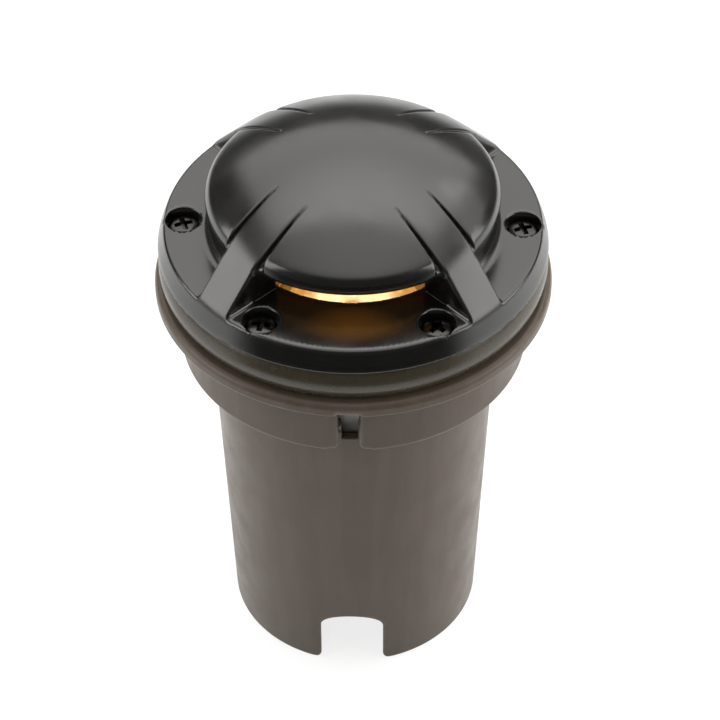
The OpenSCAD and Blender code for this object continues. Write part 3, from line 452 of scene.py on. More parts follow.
@dataclass(frozen=True)
class MouldedPlastic(Finish):
    """Moulded composite: spark-eroded texture, faint flow lines and rubbed edges.

    Attributes:
        edge_colour: Colour along rubbed edges.
        edge_share: How strongly it shows.
        flow: Share by which flow lines change the colour.
        flow_mm: Distance between the flow lines.
        flow_stretch: Scale of their noise along each axis.
        flow_lines: Values of that noise between which a line comes in.
        rub_mm: Size of the rubbed patches.
    """

    edge_colour: Colour = (0.1, 0.088, 0.075)
    edge_share: float = 0.45
    flow: float = 0.06
    flow_mm: float = 5.0
    flow_stretch: Place = (1.0, 1.0, 0.12)
    flow_lines: Point = (0.4, 0.65)
    rub_mm: float = 2.0

    def tint(self, tree: Tree, at: Wire) -> Wire:
        """Base colour with upright flow lines and lighter edges.

        Args:
            tree: The material's tree.
            at: Position on the object, in metres.

        Returns:
            The colour.
        """
        base = Finish.tint(self, tree, at)
        lines = tree.noise(tree.stretched(at, self.flow_stretch), self.flow_mm, 3.0).ramp(*self.flow_lines)
        streaked = tree.blend((lines * self.flow).clamped(), base, self.edge_colour)
        rub = tree.noise(at, self.rub_mm, 3.0, 0.6).ramp(*self.spread)
        return tree.blend((tree.edge() * rub * self.edge_share).clamped(), streaked, self.edge_colour)

    def relief(self, tree: Tree, at: Wire) -> Wire:
        """Spark-eroded pits of two sizes."""
        fine, broad = tree.noise(at, self.grain_mm, 2.0, 0.6), tree.noise(at, self.grain_mm * 5, 2.0)
        return self.bumped(tree, fine * 0.75 + broad * 0.5)


@dataclass(frozen=True)
class TurnedMetal(Finish):
    """Bare metal with fine machining lines.

    Attributes:
        metal: 1 for bare metal.
        grain_mm: Size of the grain.
        grain_depth_mm: Depth of the grain and the lines.
        lines_mm: Size of the noise that gives the machining lines.
        lines_stretch: Scale of that noise along each axis.
    """

    metal: float = 1.0
    grain_mm: float = 0.3
    grain_depth_mm: float = 0.004
    lines_mm: float = 1.0
    lines_stretch: Place = (0.25, 0.25, 4.0)

    def relief(self, tree: Tree, at: Wire) -> Wire:
        """Lines that run round the part's axis, broken up by grain."""
        lines = tree.noise(tree.stretched(at, self.lines_stretch), self.lines_mm, 2.0)
        return self.bumped(tree, lines * 0.7 + tree.noise(at, self.grain_mm, 2.0) * 0.3)


@dataclass(frozen=True)
class ClearGlass(Finish):
    """Toughened glass that lets the lamp through, with a faint green body and a clean mirror surface.

    Attributes:
        body: Colour of the light that goes through.
        mirror: Share mirrored at a steep view, and what a grazing view adds to it.
    """

    body: Colour = (0.95, 0.98, 0.965)
    mirror: Point = (0.045, 0.95)

    def surface(self, tree: Tree, shader: bpy.types.Node, at: Wire) -> bpy.types.NodeSocket:
        """Mirror where the view grazes the glass, clear elsewhere.

        Args:
            tree: The material's tree.
            shader: Its Principled shader.
            at: Position on the object, in metres.

        Returns:
            The mixed shader's output.
        """
        clear = tree.wire("ShaderNodeBsdfTransparent", {"Color": self.body})
        grazing = tree.wire("ShaderNodeLayerWeight", {"Blend": 0.5}, out="Facing")
        steep, added = self.mirror
        share = ((grazing ** 5.0) * added + steep).clamped()
        mirror = Wire(tree, shader.outputs[0])
        return tree.wire("ShaderNodeMixShader", {0: share, 1: clear, 2: mirror}).socket


@dataclass(frozen=True)
class Glowing(Finish):
    """Lit surface: a warm light source behind a moulded face.

    Attributes:
        light: Linear colour of the light in the middle.
        rim_light: Linear colour of the light at the rim.
        reach_mm: Distance of the rim from the axis.
        core_mm: Radius of the middle that has no light source behind it.
        cell_mm: Size of the lit cells.
        rim_blend: Shares of the reach between which the rim's colour comes in, and its share there.
        cell_blend: Distance from a cell's middle to its edge, and what it adds to that share at both.
        core_blend: Shares of the core's radius between which its shade ends, and the light left in it.
    """

    light: Colour = (1.9, 1.35, 0.76)
    rim_light: Colour = (0.5, 0.23, 0.05)
    reach_mm: float = 20.5
    core_mm: float = 5.0
    cell_mm: float = 3.2
    rim_blend: Place = (0.4, 0.95, 0.9)
    cell_blend: Place = (0.7, -0.05, 0.3)
    core_blend: Place = (0.5, 1.4, 0.35)

    def dress(self, tree: Tree, shader: bpy.types.Node, at: Wire) -> None:
        """Adds the light to the plain surface, brighter in its cells.

        Args:
            tree: The material's tree.
            shader: Its Principled shader.
            at: Position on the object, in metres.
        """
        Finish.dress(self, tree, shader, at)
        scale = 1 / (self.cell_mm * MM)
        cells = tree.wire("ShaderNodeTexVoronoi", {"Vector": at, "Scale": scale}, out="Distance")
        flat = tree.wire("ShaderNodeVectorMath", {0: at, 1: (1.0, 1.0, 0.0)}, operation="MULTIPLY")
        away = tree.length(flat) / (self.reach_mm * MM)
        rim_start, rim_end, rim_share = self.rim_blend
        cell_end, cell_low, cell_high = self.cell_blend
        share = away.ramp(rim_start, rim_end, 0.0, rim_share) + cells.ramp(0.0, cell_end, cell_low, cell_high)
        lit = tree.blend(share.clamped(), self.light, self.rim_light)
        core = self.core_mm / self.reach_mm
        core_start, core_end, left = self.core_blend
        glow_share = away.ramp(core * core_start, core * core_end, left, 1.0)
        tree.put(shader.inputs["Emission Color"], tree.blend(glow_share, (0.0, 0.0, 0.0), lit))
        shader.inputs["Emission Strength"].default_value = 1.0


class Surface(Enum):
    """The finishes of the well light, one for each material slot."""

    BLACK_PAINT = CastPaint("black_paint", (0.006, 0.0058, 0.0055), 0.22, grain_mm=0.9, grain_depth_mm=0.004,
                            gloss_spread=0.03, mottle=0.12, shine=1.0, dust=0.012)
    BRONZE_PAINT = PartCoat("bronze_paint", (0.04, 0.033, 0.021), 0.27, grain_mm=0.8, grain_depth_mm=0.003,
                            gloss_spread=0.03, edge_colour=(0.08, 0.07, 0.05), edge_share=0.1, mottle=0.1,
                            shine=0.5, dust=0.008)
    BROWN_COMPOSITE = MouldedPlastic("brown_composite", (0.071, 0.053, 0.038), 0.36, grain_mm=0.35,
                                     grain_depth_mm=0.012, gloss_spread=0.05, mottle=0.07, shine=0.36,
                                     edge_colour=(0.19, 0.165, 0.14))
    BLACK_STEEL = TurnedMetal("black_steel", (0.06, 0.058, 0.055), 0.24, mottle=0.2)
    PLAIN_STEEL = TurnedMetal("plain_steel", (0.56, 0.56, 0.57), 0.3)
    CAST_ALUMINIUM = TurnedMetal("cast_aluminium", (0.55, 0.56, 0.58), 0.42, grain_mm=0.4,
                                 grain_depth_mm=0.012)
    PLAIN_BRASS = TurnedMetal("plain_brass", (0.6, 0.43, 0.2), 0.3)
    CLEAR_GLASS = ClearGlass("clear_glass", (0.9, 0.93, 0.92), 0.03, metal=1.0, grain_depth_mm=0.0005,
                             gloss_spread=0.01, mottle=0.02)
    BLACK_RUBBER = Finish("black_rubber", (0.018, 0.018, 0.018), 0.62, grain_mm=0.25, grain_depth_mm=0.012)
    WHITE_NYLON = Finish("white_nylon", (0.7, 0.68, 0.62), 0.45, grain_mm=0.4, grain_depth_mm=0.006,
                         mottle=0.04)
    BLACK_NYLON = Finish("black_nylon", (0.02, 0.02, 0.021), 0.42, grain_mm=0.35, grain_depth_mm=0.012)
    LEAD_SILICONE = Finish("lead_silicone", (0.62, 0.6, 0.55), 0.5, grain_mm=0.5, grain_depth_mm=0.008,
                           mottle=0.05)
    WHITE_CERAMIC = Finish("white_ceramic", (0.72, 0.69, 0.62), 0.34, grain_mm=0.5, grain_depth_mm=0.01,
                           mottle=0.05)
    LIT_BOARD = Glowing("lit_board", (0.7, 0.68, 0.6), 0.4)
    LIT_OPTIC = Glowing("lit_optic", (0.4, 0.34, 0.26), 0.2)

    @cache
    def material(self) -> bpy.types.Material:
        """The surface's material, made at its first use."""
        return self.value.make()

    @classmethod
    def of_slot(cls, slot: str) -> "Surface":
        """The surface of one of the record's slots."""
        return next(s for s in cls if s.value.slot == slot)


# Shapes given by a rule: distance fields and the meshes of their surfaces


def soft_max(first: Array, second: Array, blend: Union[float, Array]) -> Array:
    """Larger of two signed distances, rounded over the blend's width where they are close."""
    share = np.clip(0.5 + 0.5 * (first - second) / blend, 0.0, 1.0)
    return second + (first - second) * share + blend * share * (1.0 - share)


def arc_points(x: float, y: float, r: float, start: float, end: float, steps: int = 24) -> list[Point]:
    """Points on an arc, from one angle in degrees to another."""
    angles = np.radians(np.linspace(start, end, steps + 1))
    return [(x + r * math.cos(a), y + r * math.sin(a)) for a in angles]


class FlatShape:
    """Signed distance to a closed outline in a plane, read from a fine table."""

    def __init__(self, outline: Sequence[Point], step: float = 0.1, margin: float = 4.0) -> None:
        """Tabulates the distance round an outline.

        Args:
            outline: Its corners in order, in millimetres.
            step: Spacing of the table.
            margin: How far the table reaches past the outline.
        """
        corners = np.array(outline, float)
        self.step = step
        self.low = corners.min(0) - margin
        counts = np.ceil((corners.max(0) + margin - self.low) / step).astype(int) + 1
        x, y = np.meshgrid(*(self.low[i] + step * np.arange(counts[i]) for i in (0, 1)), indexing="ij")
        best = np.full(x.shape, 1e9)
        inside = np.zeros(x.shape, bool)
        for (ax, ay), (bx, by) in zip(corners, np.roll(corners, -1, 0)):
            dx, dy = bx - ax, by - ay
            if dx * dx + dy * dy < 1e-12:
                continue
            t = np.clip(((x - ax) * dx + (y - ay) * dy) / (dx * dx + dy * dy), 0, 1)
            best = np.minimum(best, np.hypot(x - ax - t * dx, y - ay - t * dy))
            if ay != by:
                crosses = ((ay > y) != (by > y)) & (x < ax + (y - ay) * dx / dy)
                inside ^= crosses
        self.table = np.where(inside, -best, best)

    def __call__(self, x: Array, y: Array) -> Array:
        """Signed distance at each point, negative inside.

        Args:
            x: The points' first coordinate in the plane.
            y: Their second coordinate.

        Returns:
            The distances.
        """
        nx, ny = self.table.shape
        fx = np.clip((x - self.low[0]) / self.step, 0, nx - 1.001)
        fy = np.clip((y - self.low[1]) / self.step, 0, ny - 1.001)
        i, j = fx.astype(int), fy.astype(int)
        u, v = fx - i, fy - j
        t = self.table
        near = t[i, j] * (1 - u) + t[i + 1, j] * u
        far = t[i, j + 1] * (1 - u) + t[i + 1, j + 1] * u
        return near * (1 - v) + far * v


def lines(*spans: Place) -> Array:
    """Grid lines over spans that meet, each given by its start, end and spacing."""
    parts = [np.linspace(a, b, max(1, round((b - a) / s)) + 1)[:-1] for a, b, s in spans]
    return np.concatenate(parts + [np.array([spans[-1][1]])])


def straight(x: Array, y: Array, z: Array) -> Places:
    """The same coordinates, for a grid along the axes."""
    return x, y, z


@dataclass
class Casting:
    """Turns a signed distance field into a closed mesh whose points lie on edges as well as on faces.

    Attributes:
        solid: The field, negative inside, of x, y and z in millimetres.
        grid: Grid lines along the three directions of the grid.
        place: Maps the grid's coordinates to x, y and z.
        ring: Whether the grid's first direction closes on itself.
        soften: Distance over which the finished surface's direction is read, in millimetres.
        probe: The same distance while the surface is searched.
        hold: Pull of a cell's point towards the middle of its crossings.
        stray: How far a point may leave that middle.
        snap: How far it moves to the surface in one step.
        edge_reach: Distance over which the turn of the surface is read.
        edge_gain: Measure of an edge for each unit of turn.
        edge_floor: What is taken off that measure, so that plain faces have none.
    """

    solid: Field
    grid: Places
    place: Placing = straight
    ring: bool = False
    soften: float = 0.09
    probe: float = 0.04
    hold: float = 0.06
    stray: float = 0.6
    snap: float = 0.15
    edge_reach: float = 0.5
    edge_gain: float = 0.8
    edge_floor: float = 0.1

    def slope(self, points: Array, reach: float) -> Array:
        """Unit gradient of the field at each point, read over a distance to both sides."""
        rise = [self.solid(*(points + step).T) - self.solid(*(points - step).T) for step in reach * np.eye(3)]
        return np.stack(rise, 1) / np.maximum(np.linalg.norm(rise, axis=0)[:, None], 1e-9)

    def edge_measure(self, points: Array) -> Array:
        """Reads how sharply the surface turns outwards.

        Args:
            points: Places on the surface in millimetres, one in each row.

        Returns:
            A measure from 0 to 1 at each point.
        """
        total = -6.0 * self.solid(*points.T)
        for step in self.edge_reach * np.eye(3):
            total = total + self.solid(*(points + step).T) + self.solid(*(points - step).T)
        return np.clip(total / self.edge_reach * self.edge_gain - self.edge_floor, 0.0, 1.0)

    def crossed(self, values: Array, axis: int, cells: list[int], sums: dict[str, Array]) -> Array:
        """Finds where the surface crosses the grid's edges in one direction, and sums it up in their cells.

        Args:
            values: The field at the grid's points.
            axis: Direction of the edges.
            cells: Number of cells in each direction.
            sums: Sums over the crossings of each cell, which this adds to.

        Returns:
            Numbers of the four cells round each crossing, in the order of a face.
        """
        head, tail = [slice(None)] * 3, [slice(None)] * 3
        head[axis], tail[axis] = slice(1, None), slice(None, -1)
        if self.ring and axis != 0:
            head[0] = tail[0] = slice(None, -1)
        a, b = values[tuple(tail)], values[tuple(head)]
        spots = np.nonzero((a < 0) != (b < 0))
        va, vb = a[spots], b[spots]
        at = [g[n].astype(float) for g, n in zip(self.grid, spots)]
        at[axis] = at[axis] + va / (va - vb) * np.diff(self.grid[axis])[spots[axis]]
        first, second = (d for d in range(3) if d != axis)
        keep = np.ones(len(va), bool)
        numbers = []
        for d0, d1 in ((-1, -1), (0, -1), (0, 0), (-1, 0)):
            cell = list(spots)
            cell[first] = cell[first] + d0
            cell[second] = cell[second] + d1
            if self.ring:
                cell[0] = cell[0] % cells[0]
            for d in range(3):
                keep &= (cell[d] >= 0) & (cell[d] < cells[d])
            numbers.append((cell[0] * cells[1] + cell[1]) * cells[2] + cell[2])
        p = np.stack(self.place(*at), 1)[keep]
        normal = self.slope(p, self.probe)
        level = (p * normal).sum(1)
        weights = {"n": np.ones(len(p)), "x": p[:, 0], "y": p[:, 1], "z": p[:, 2]}
        weights.update({key: normal[:, r] * normal[:, c] for key, (r, c) in PAIRS.items()})
        weights.update({key: normal[:, d] * level for d, key in enumerate(("bx", "by", "bz"))})
        for number in numbers:
            for key, weight in weights.items():
                sums[key] += np.bincount(number[keep], weights=weight, minlength=len(sums[key]))
        fan = np.stack(numbers, 1)[keep]
        turn = (va < 0)[keep] != (axis == 1)
        fan[~turn] = fan[~turn][:, ::-1]
        return fan

    def settled(self, sums: dict[str, Array]) -> Array:
        """Places each cell's point where the faces through its crossings meet.

        Args:
            sums: Sums over the crossings of each cell that has some.

        Returns:
            The points in millimetres, one in each row.
        """
        count = sums["n"]
        middle = np.stack([sums[c] / count for c in "xyz"], 1)
        m = np.empty((len(count), 3, 3))
        for key, (r, c) in PAIRS.items():
            m[:, r, c] = m[:, c, r] = sums[key]
        target = np.stack([sums[key] for key in ("bx", "by", "bz")], 1)
        target = target - np.einsum("nij,nj->ni", m, middle)
        shift = np.linalg.solve(m + self.hold * np.eye(3), target[:, :, None])[:, :, 0]
        length = np.linalg.norm(shift, axis=1, keepdims=True)
        points = middle + shift * np.minimum(1.0, self.stray / np.maximum(length, 1e-9))
        for _ in range(2):
            normal = self.slope(points, self.probe)
            points = points - normal * np.clip(self.solid(*points.T), -self.snap, self.snap)[:, None]
        return points

    def mesh(self) -> Places:
        """Finds the surface.

        Returns:
            Points, corner numbers of the four-sided faces, and the points' normals.
        """
        values = self.solid(*self.place(*np.meshgrid(*self.grid, indexing="ij")))
        if self.ring:
            values = np.concatenate([values[:-1], values[:1]], 0)
        cells = [len(g) - 1 for g in self.grid]
        total = cells[0] * cells[1] * cells[2]
        sums = {key: np.zeros(total) for key in ("n", "x", "y", "z", *PAIRS, "bx", "by", "bz")}
        fan = np.concatenate([self.crossed(values, axis, cells, sums) for axis in range(3)])
        used = np.nonzero(sums["n"] > 0)[0]
        points = self.settled({key: column[used] for key, column in sums.items()})
        number = np.full(total, -1)
        number[used] = np.arange(len(used))
        return points, number[fan], self.slope(points, self.soften)

    def build(self, name: str) -> Object:
        """Makes the object, with smooth normals and a measure of its edges for the finish.

        Args:
            name: Name of the piece.

        Returns:
            The new object, at the origin, in metres.
        """
        points, faces, normals = self.mesh()
        data = bpy.data.meshes.new(name)
        data.from_pydata((points * MM).tolist(), [], faces.tolist())
        data.update()
        data.polygons.foreach_set("use_smooth", [True] * len(data.polygons))
        edge = data.attributes.new("edge", "FLOAT", "POINT")
        edge.data.foreach_set("value", self.edge_measure(points).astype(np.float32))
        data.normals_split_custom_set_from_vertices(normals.tolist())
        LOG.info("%s: %d faces, %.1f cubic centimetres", name, len(faces), volume_of(data) * 1e6)
        return new_object(name, data)


def volume_of(mesh: bpy.types.Mesh) -> float:
    """Volume inside a mesh, negative where its faces point inwards.

    Args:
        mesh: The mesh.

    Returns:
        The volume in cubic metres.
    """
    mesh.calc_loop_triangles()
    corners = np.empty(len(mesh.vertices) * 3)
    mesh.vertices.foreach_get("co", corners)
    numbers = np.empty(len(mesh.loop_triangles) * 3, np.int32)
    mesh.loop_triangles.foreach_get("vertices", numbers)
    a, b, c = corners.reshape(-1, 3)[numbers].reshape(-1, 3, 3).transpose(1, 0, 2)
    return float((a * np.cross(b, c)).sum() / 6)


# Shapes grown by Geometry Nodes


class Kind(Enum):
    """Kinds of input that a grown piece's tree takes."""

    FLOAT = "NodeSocketFloat"
    INT = "NodeSocketInt"
    OBJECT = "NodeSocketObject"
    MATERIAL = "NodeSocketMaterial"


class Grower:
    """A Geometry Nodes tree with named inputs, run once and kept as a plain mesh."""

    # Radius in millimetres of the circle that a profile is swept round
    PATH_R = 1.0
    # Segments in a rounded corner, and the gap in metres up to which points are joined
    FILLET_STEPS = 3
    JOIN_GAP = 1e-6
    # Measure of an edge for each radian, and the angle in degrees from which it is shaded sharp
    EDGE_GAIN = 3.0
    SHARP_ANGLE = 38.0

    def __init__(self, name: str) -> None:
        """Starts a tree whose only output is its geometry.

        Args:
            name: Name of the tree and of the piece.
        """
        self.name = name
        self.group = bpy.data.node_groups.new(name, "GeometryNodeTree")
        self.group.interface.new_socket("Geometry", in_out="OUTPUT", socket_type="NodeSocketGeometry")
        self.tree = Tree(self.group)
        self.entry = self.group.nodes.new("NodeGroupInput")
        self.values: dict[str, Any] = {}
        self.profiles: list[Object] = []

    def given(self, name: str, kind: Kind, value: Any) -> Wire:
        """Adds a named input to the tree.

        Args:
            name: The input's name.
            kind: Its kind.
            value: Its value, in metres where it is a size.

        Returns:
            The input inside the tree.
        """
        socket = self.group.interface.new_socket(name, in_out="INPUT", socket_type=kind.value)
        self.values[socket.identifier] = value
        return Wire(self.tree, self.entry.outputs[name])

    def size(self, name: str, value: float) -> Wire:
        """A named size, given in millimetres."""
        return self.given(name, Kind.FLOAT, value * MM)

    def number(self, name: str, value: int) -> Wire:
        """A named whole number."""
        return self.given(name, Kind.INT, value)

    def turned(self, name: str, points: Sequence[Point], fillet: Scalar, sides: Scalar,
               closed: bool = False) -> Wire:
        """Turns a profile round the Z axis and rounds its corners.

        Args:
            name: Name of the profile, which is an input of the tree.
            points: Its corners as radius and height in millimetres; the outer side runs downwards.
            fillet: Radius of the rounding, in metres.
            sides: Number of steps round the axis.
            closed: Whether the profile is a loop clear of the axis.

        Returns:
            The turned mesh.
        """
        curve = bpy.data.curves.new(name, "CURVE")
        curve.dimensions = "3D"
        spline = curve.splines.new("POLY")
        spline.points.add(len(points) - 1)
        spline.use_cyclic_u = closed
        for point, (r, z) in zip(spline.points, points):
            point.co = ((r - self.PATH_R) * MM, -z * MM, 0.0, 1.0)
        holder = new_object(name, curve)
        self.profiles.append(holder)
        profile = self.given(name, Kind.OBJECT, holder)
        outline = self.tree.wire("GeometryNodeObjectInfo", {"Object": profile}, out="Geometry")
        rounding = {"Curve": outline, "Count": self.FILLET_STEPS, "Radius": fillet, "Limit Radius": True}
        soft = self.tree.wire("GeometryNodeFilletCurve", rounding, mode="POLY")
        circle = {"Resolution": sides, "Radius": self.PATH_R * MM}
        path = self.tree.wire("GeometryNodeCurvePrimitiveCircle", circle)
        swept = self.tree.wire("GeometryNodeCurveToMesh", {"Curve": path, "Profile Curve": soft})
        return self.tree.wire("GeometryNodeMergeByDistance", {"Geometry": swept, "Distance": self.JOIN_GAP})

    def rod(self, radius: Scalar, low: float, high: float, sides: int = 48) -> Wire:
        """Upright cylinder of a radius in metres between two heights in millimetres."""
        size = {"Vertices": sides, "Radius": radius, "Depth": (high - low) * MM}
        return self.moved(self.tree.wire("GeometryNodeMeshCylinder", size, out="Mesh"),
                          (0.0, 0.0, (low + high) / 2))

    def moved(self, shape: Wire, by: Place = (0.0, 0.0, 0.0), turn: float = 0.0,
              scale: Place = (1.0, 1.0, 1.0)) -> Wire:
        """Scales a shape, turns it round Z by degrees and moves it by millimetres."""
        inputs = {"Geometry": shape, "Translation": tuple(c * MM for c in by),
                  "Rotation": (0.0, 0.0, math.radians(turn)), "Scale": scale}
        return self.tree.wire("GeometryNodeTransform", inputs)

    def ring_of(self, shape: Wire, count: Scalar, radius: Scalar) -> Wire:
        """Copies a shape round the axis from +X on, each turned to face outwards.

        Args:
            shape: The shape.
            count: Number of copies.
            radius: Radius of their circle in metres.

        Returns:
            The copies.
        """
        spots = self.tree.wire("GeometryNodeMeshCircle", {"Vertices": count, "Radius": radius})
        turn = self.tree.wire("GeometryNodeInputIndex") * math.tau / count
        turned = self.tree.wire("ShaderNodeCombineXYZ", {"Z": turn})
        placed = {"Points": spots, "Instance": shape, "Rotation": turned}
        copies = self.tree.wire("GeometryNodeInstanceOnPoints", placed)
        return self.tree.wire("GeometryNodeRealizeInstances", {"Geometry": copies})

    def joined(self, *shapes: Wire) -> Wire:
        """Several shapes in one geometry."""
        return self.tree.wire("GeometryNodeJoinGeometry", {"Geometry": list(shapes)})

    def cut(self, shape: Wire, tool: Wire) -> Wire:
        """The shape with the tool cut out of it."""
        inputs = {"Mesh 1": shape, "Mesh 2": tool}
        return self.tree.wire("GeometryNodeMeshBoolean", inputs, operation="DIFFERENCE", solver="EXACT")

    def fused(self, *shapes: Wire) -> Wire:
        """Several shapes as one solid."""
        inputs = {"Mesh 2": list(shapes)}
        return self.tree.wire("GeometryNodeMeshBoolean", inputs, operation="UNION", solver="EXACT")

    def grow(self, shape: Wire, finish: bpy.types.Material) -> Object:
        """Ends the tree, runs it and keeps the result as a plain mesh.

        Args:
            shape: The finished geometry.
            finish: Its material, which is an input of the tree.

        Returns:
            The object, at the origin, with its edges marked for the finish.
        """
        bend = self.tree.wire("GeometryNodeInputMeshEdgeAngle", out="Signed Angle")
        edge = {"Geometry": shape, "Name": "edge", "Value": (bend * self.EDGE_GAIN).clamped()}
        marked = self.tree.wire("GeometryNodeStoreNamedAttribute", edge, data_type="FLOAT", domain="POINT")
        real = self.tree.wire("GeometryNodeRealizeInstances", {"Geometry": marked})
        given = self.given("Finish", Kind.MATERIAL, finish)
        done = self.tree.wire("GeometryNodeSetMaterial", {"Geometry": real, "Material": given})
        self.tree.node("NodeGroupOutput", {0: done})
        piece = new_object(self.name, bpy.data.meshes.new(self.name))
        modifier = piece.modifiers.new("grow", "NODES")
        modifier.node_group = self.group
        for key, value in self.values.items():
            modifier[key] = value
        self.keep(piece)
        piece.data.polygons.foreach_set("use_smooth", [True] * len(piece.data.polygons))
        piece.data.set_sharp_from_angle(angle=math.radians(self.SHARP_ANGLE))
        weighted = piece.modifiers.new("weighted", "WEIGHTED_NORMAL")
        weighted.keep_sharp = True
        self.keep(piece)
        for holder in self.profiles:
            bpy.data.objects.remove(holder)
        LOG.info("%s: %d faces, %.2f cubic centimetres", self.name, len(piece.data.polygons),
                 volume_of(piece.data) * 1e6)
        return piece

    def keep(self, piece: Object) -> None:
        """Applies the piece's modifiers.

        Args:
            piece: The piece, which gets a mesh of its own.
        """
        ready = piece.evaluated_get(bpy.context.evaluated_depsgraph_get())
        made = bpy.data.meshes.new_from_object(ready)
        piece.modifiers.clear()
        piece.data = made


# Sub-assemblies


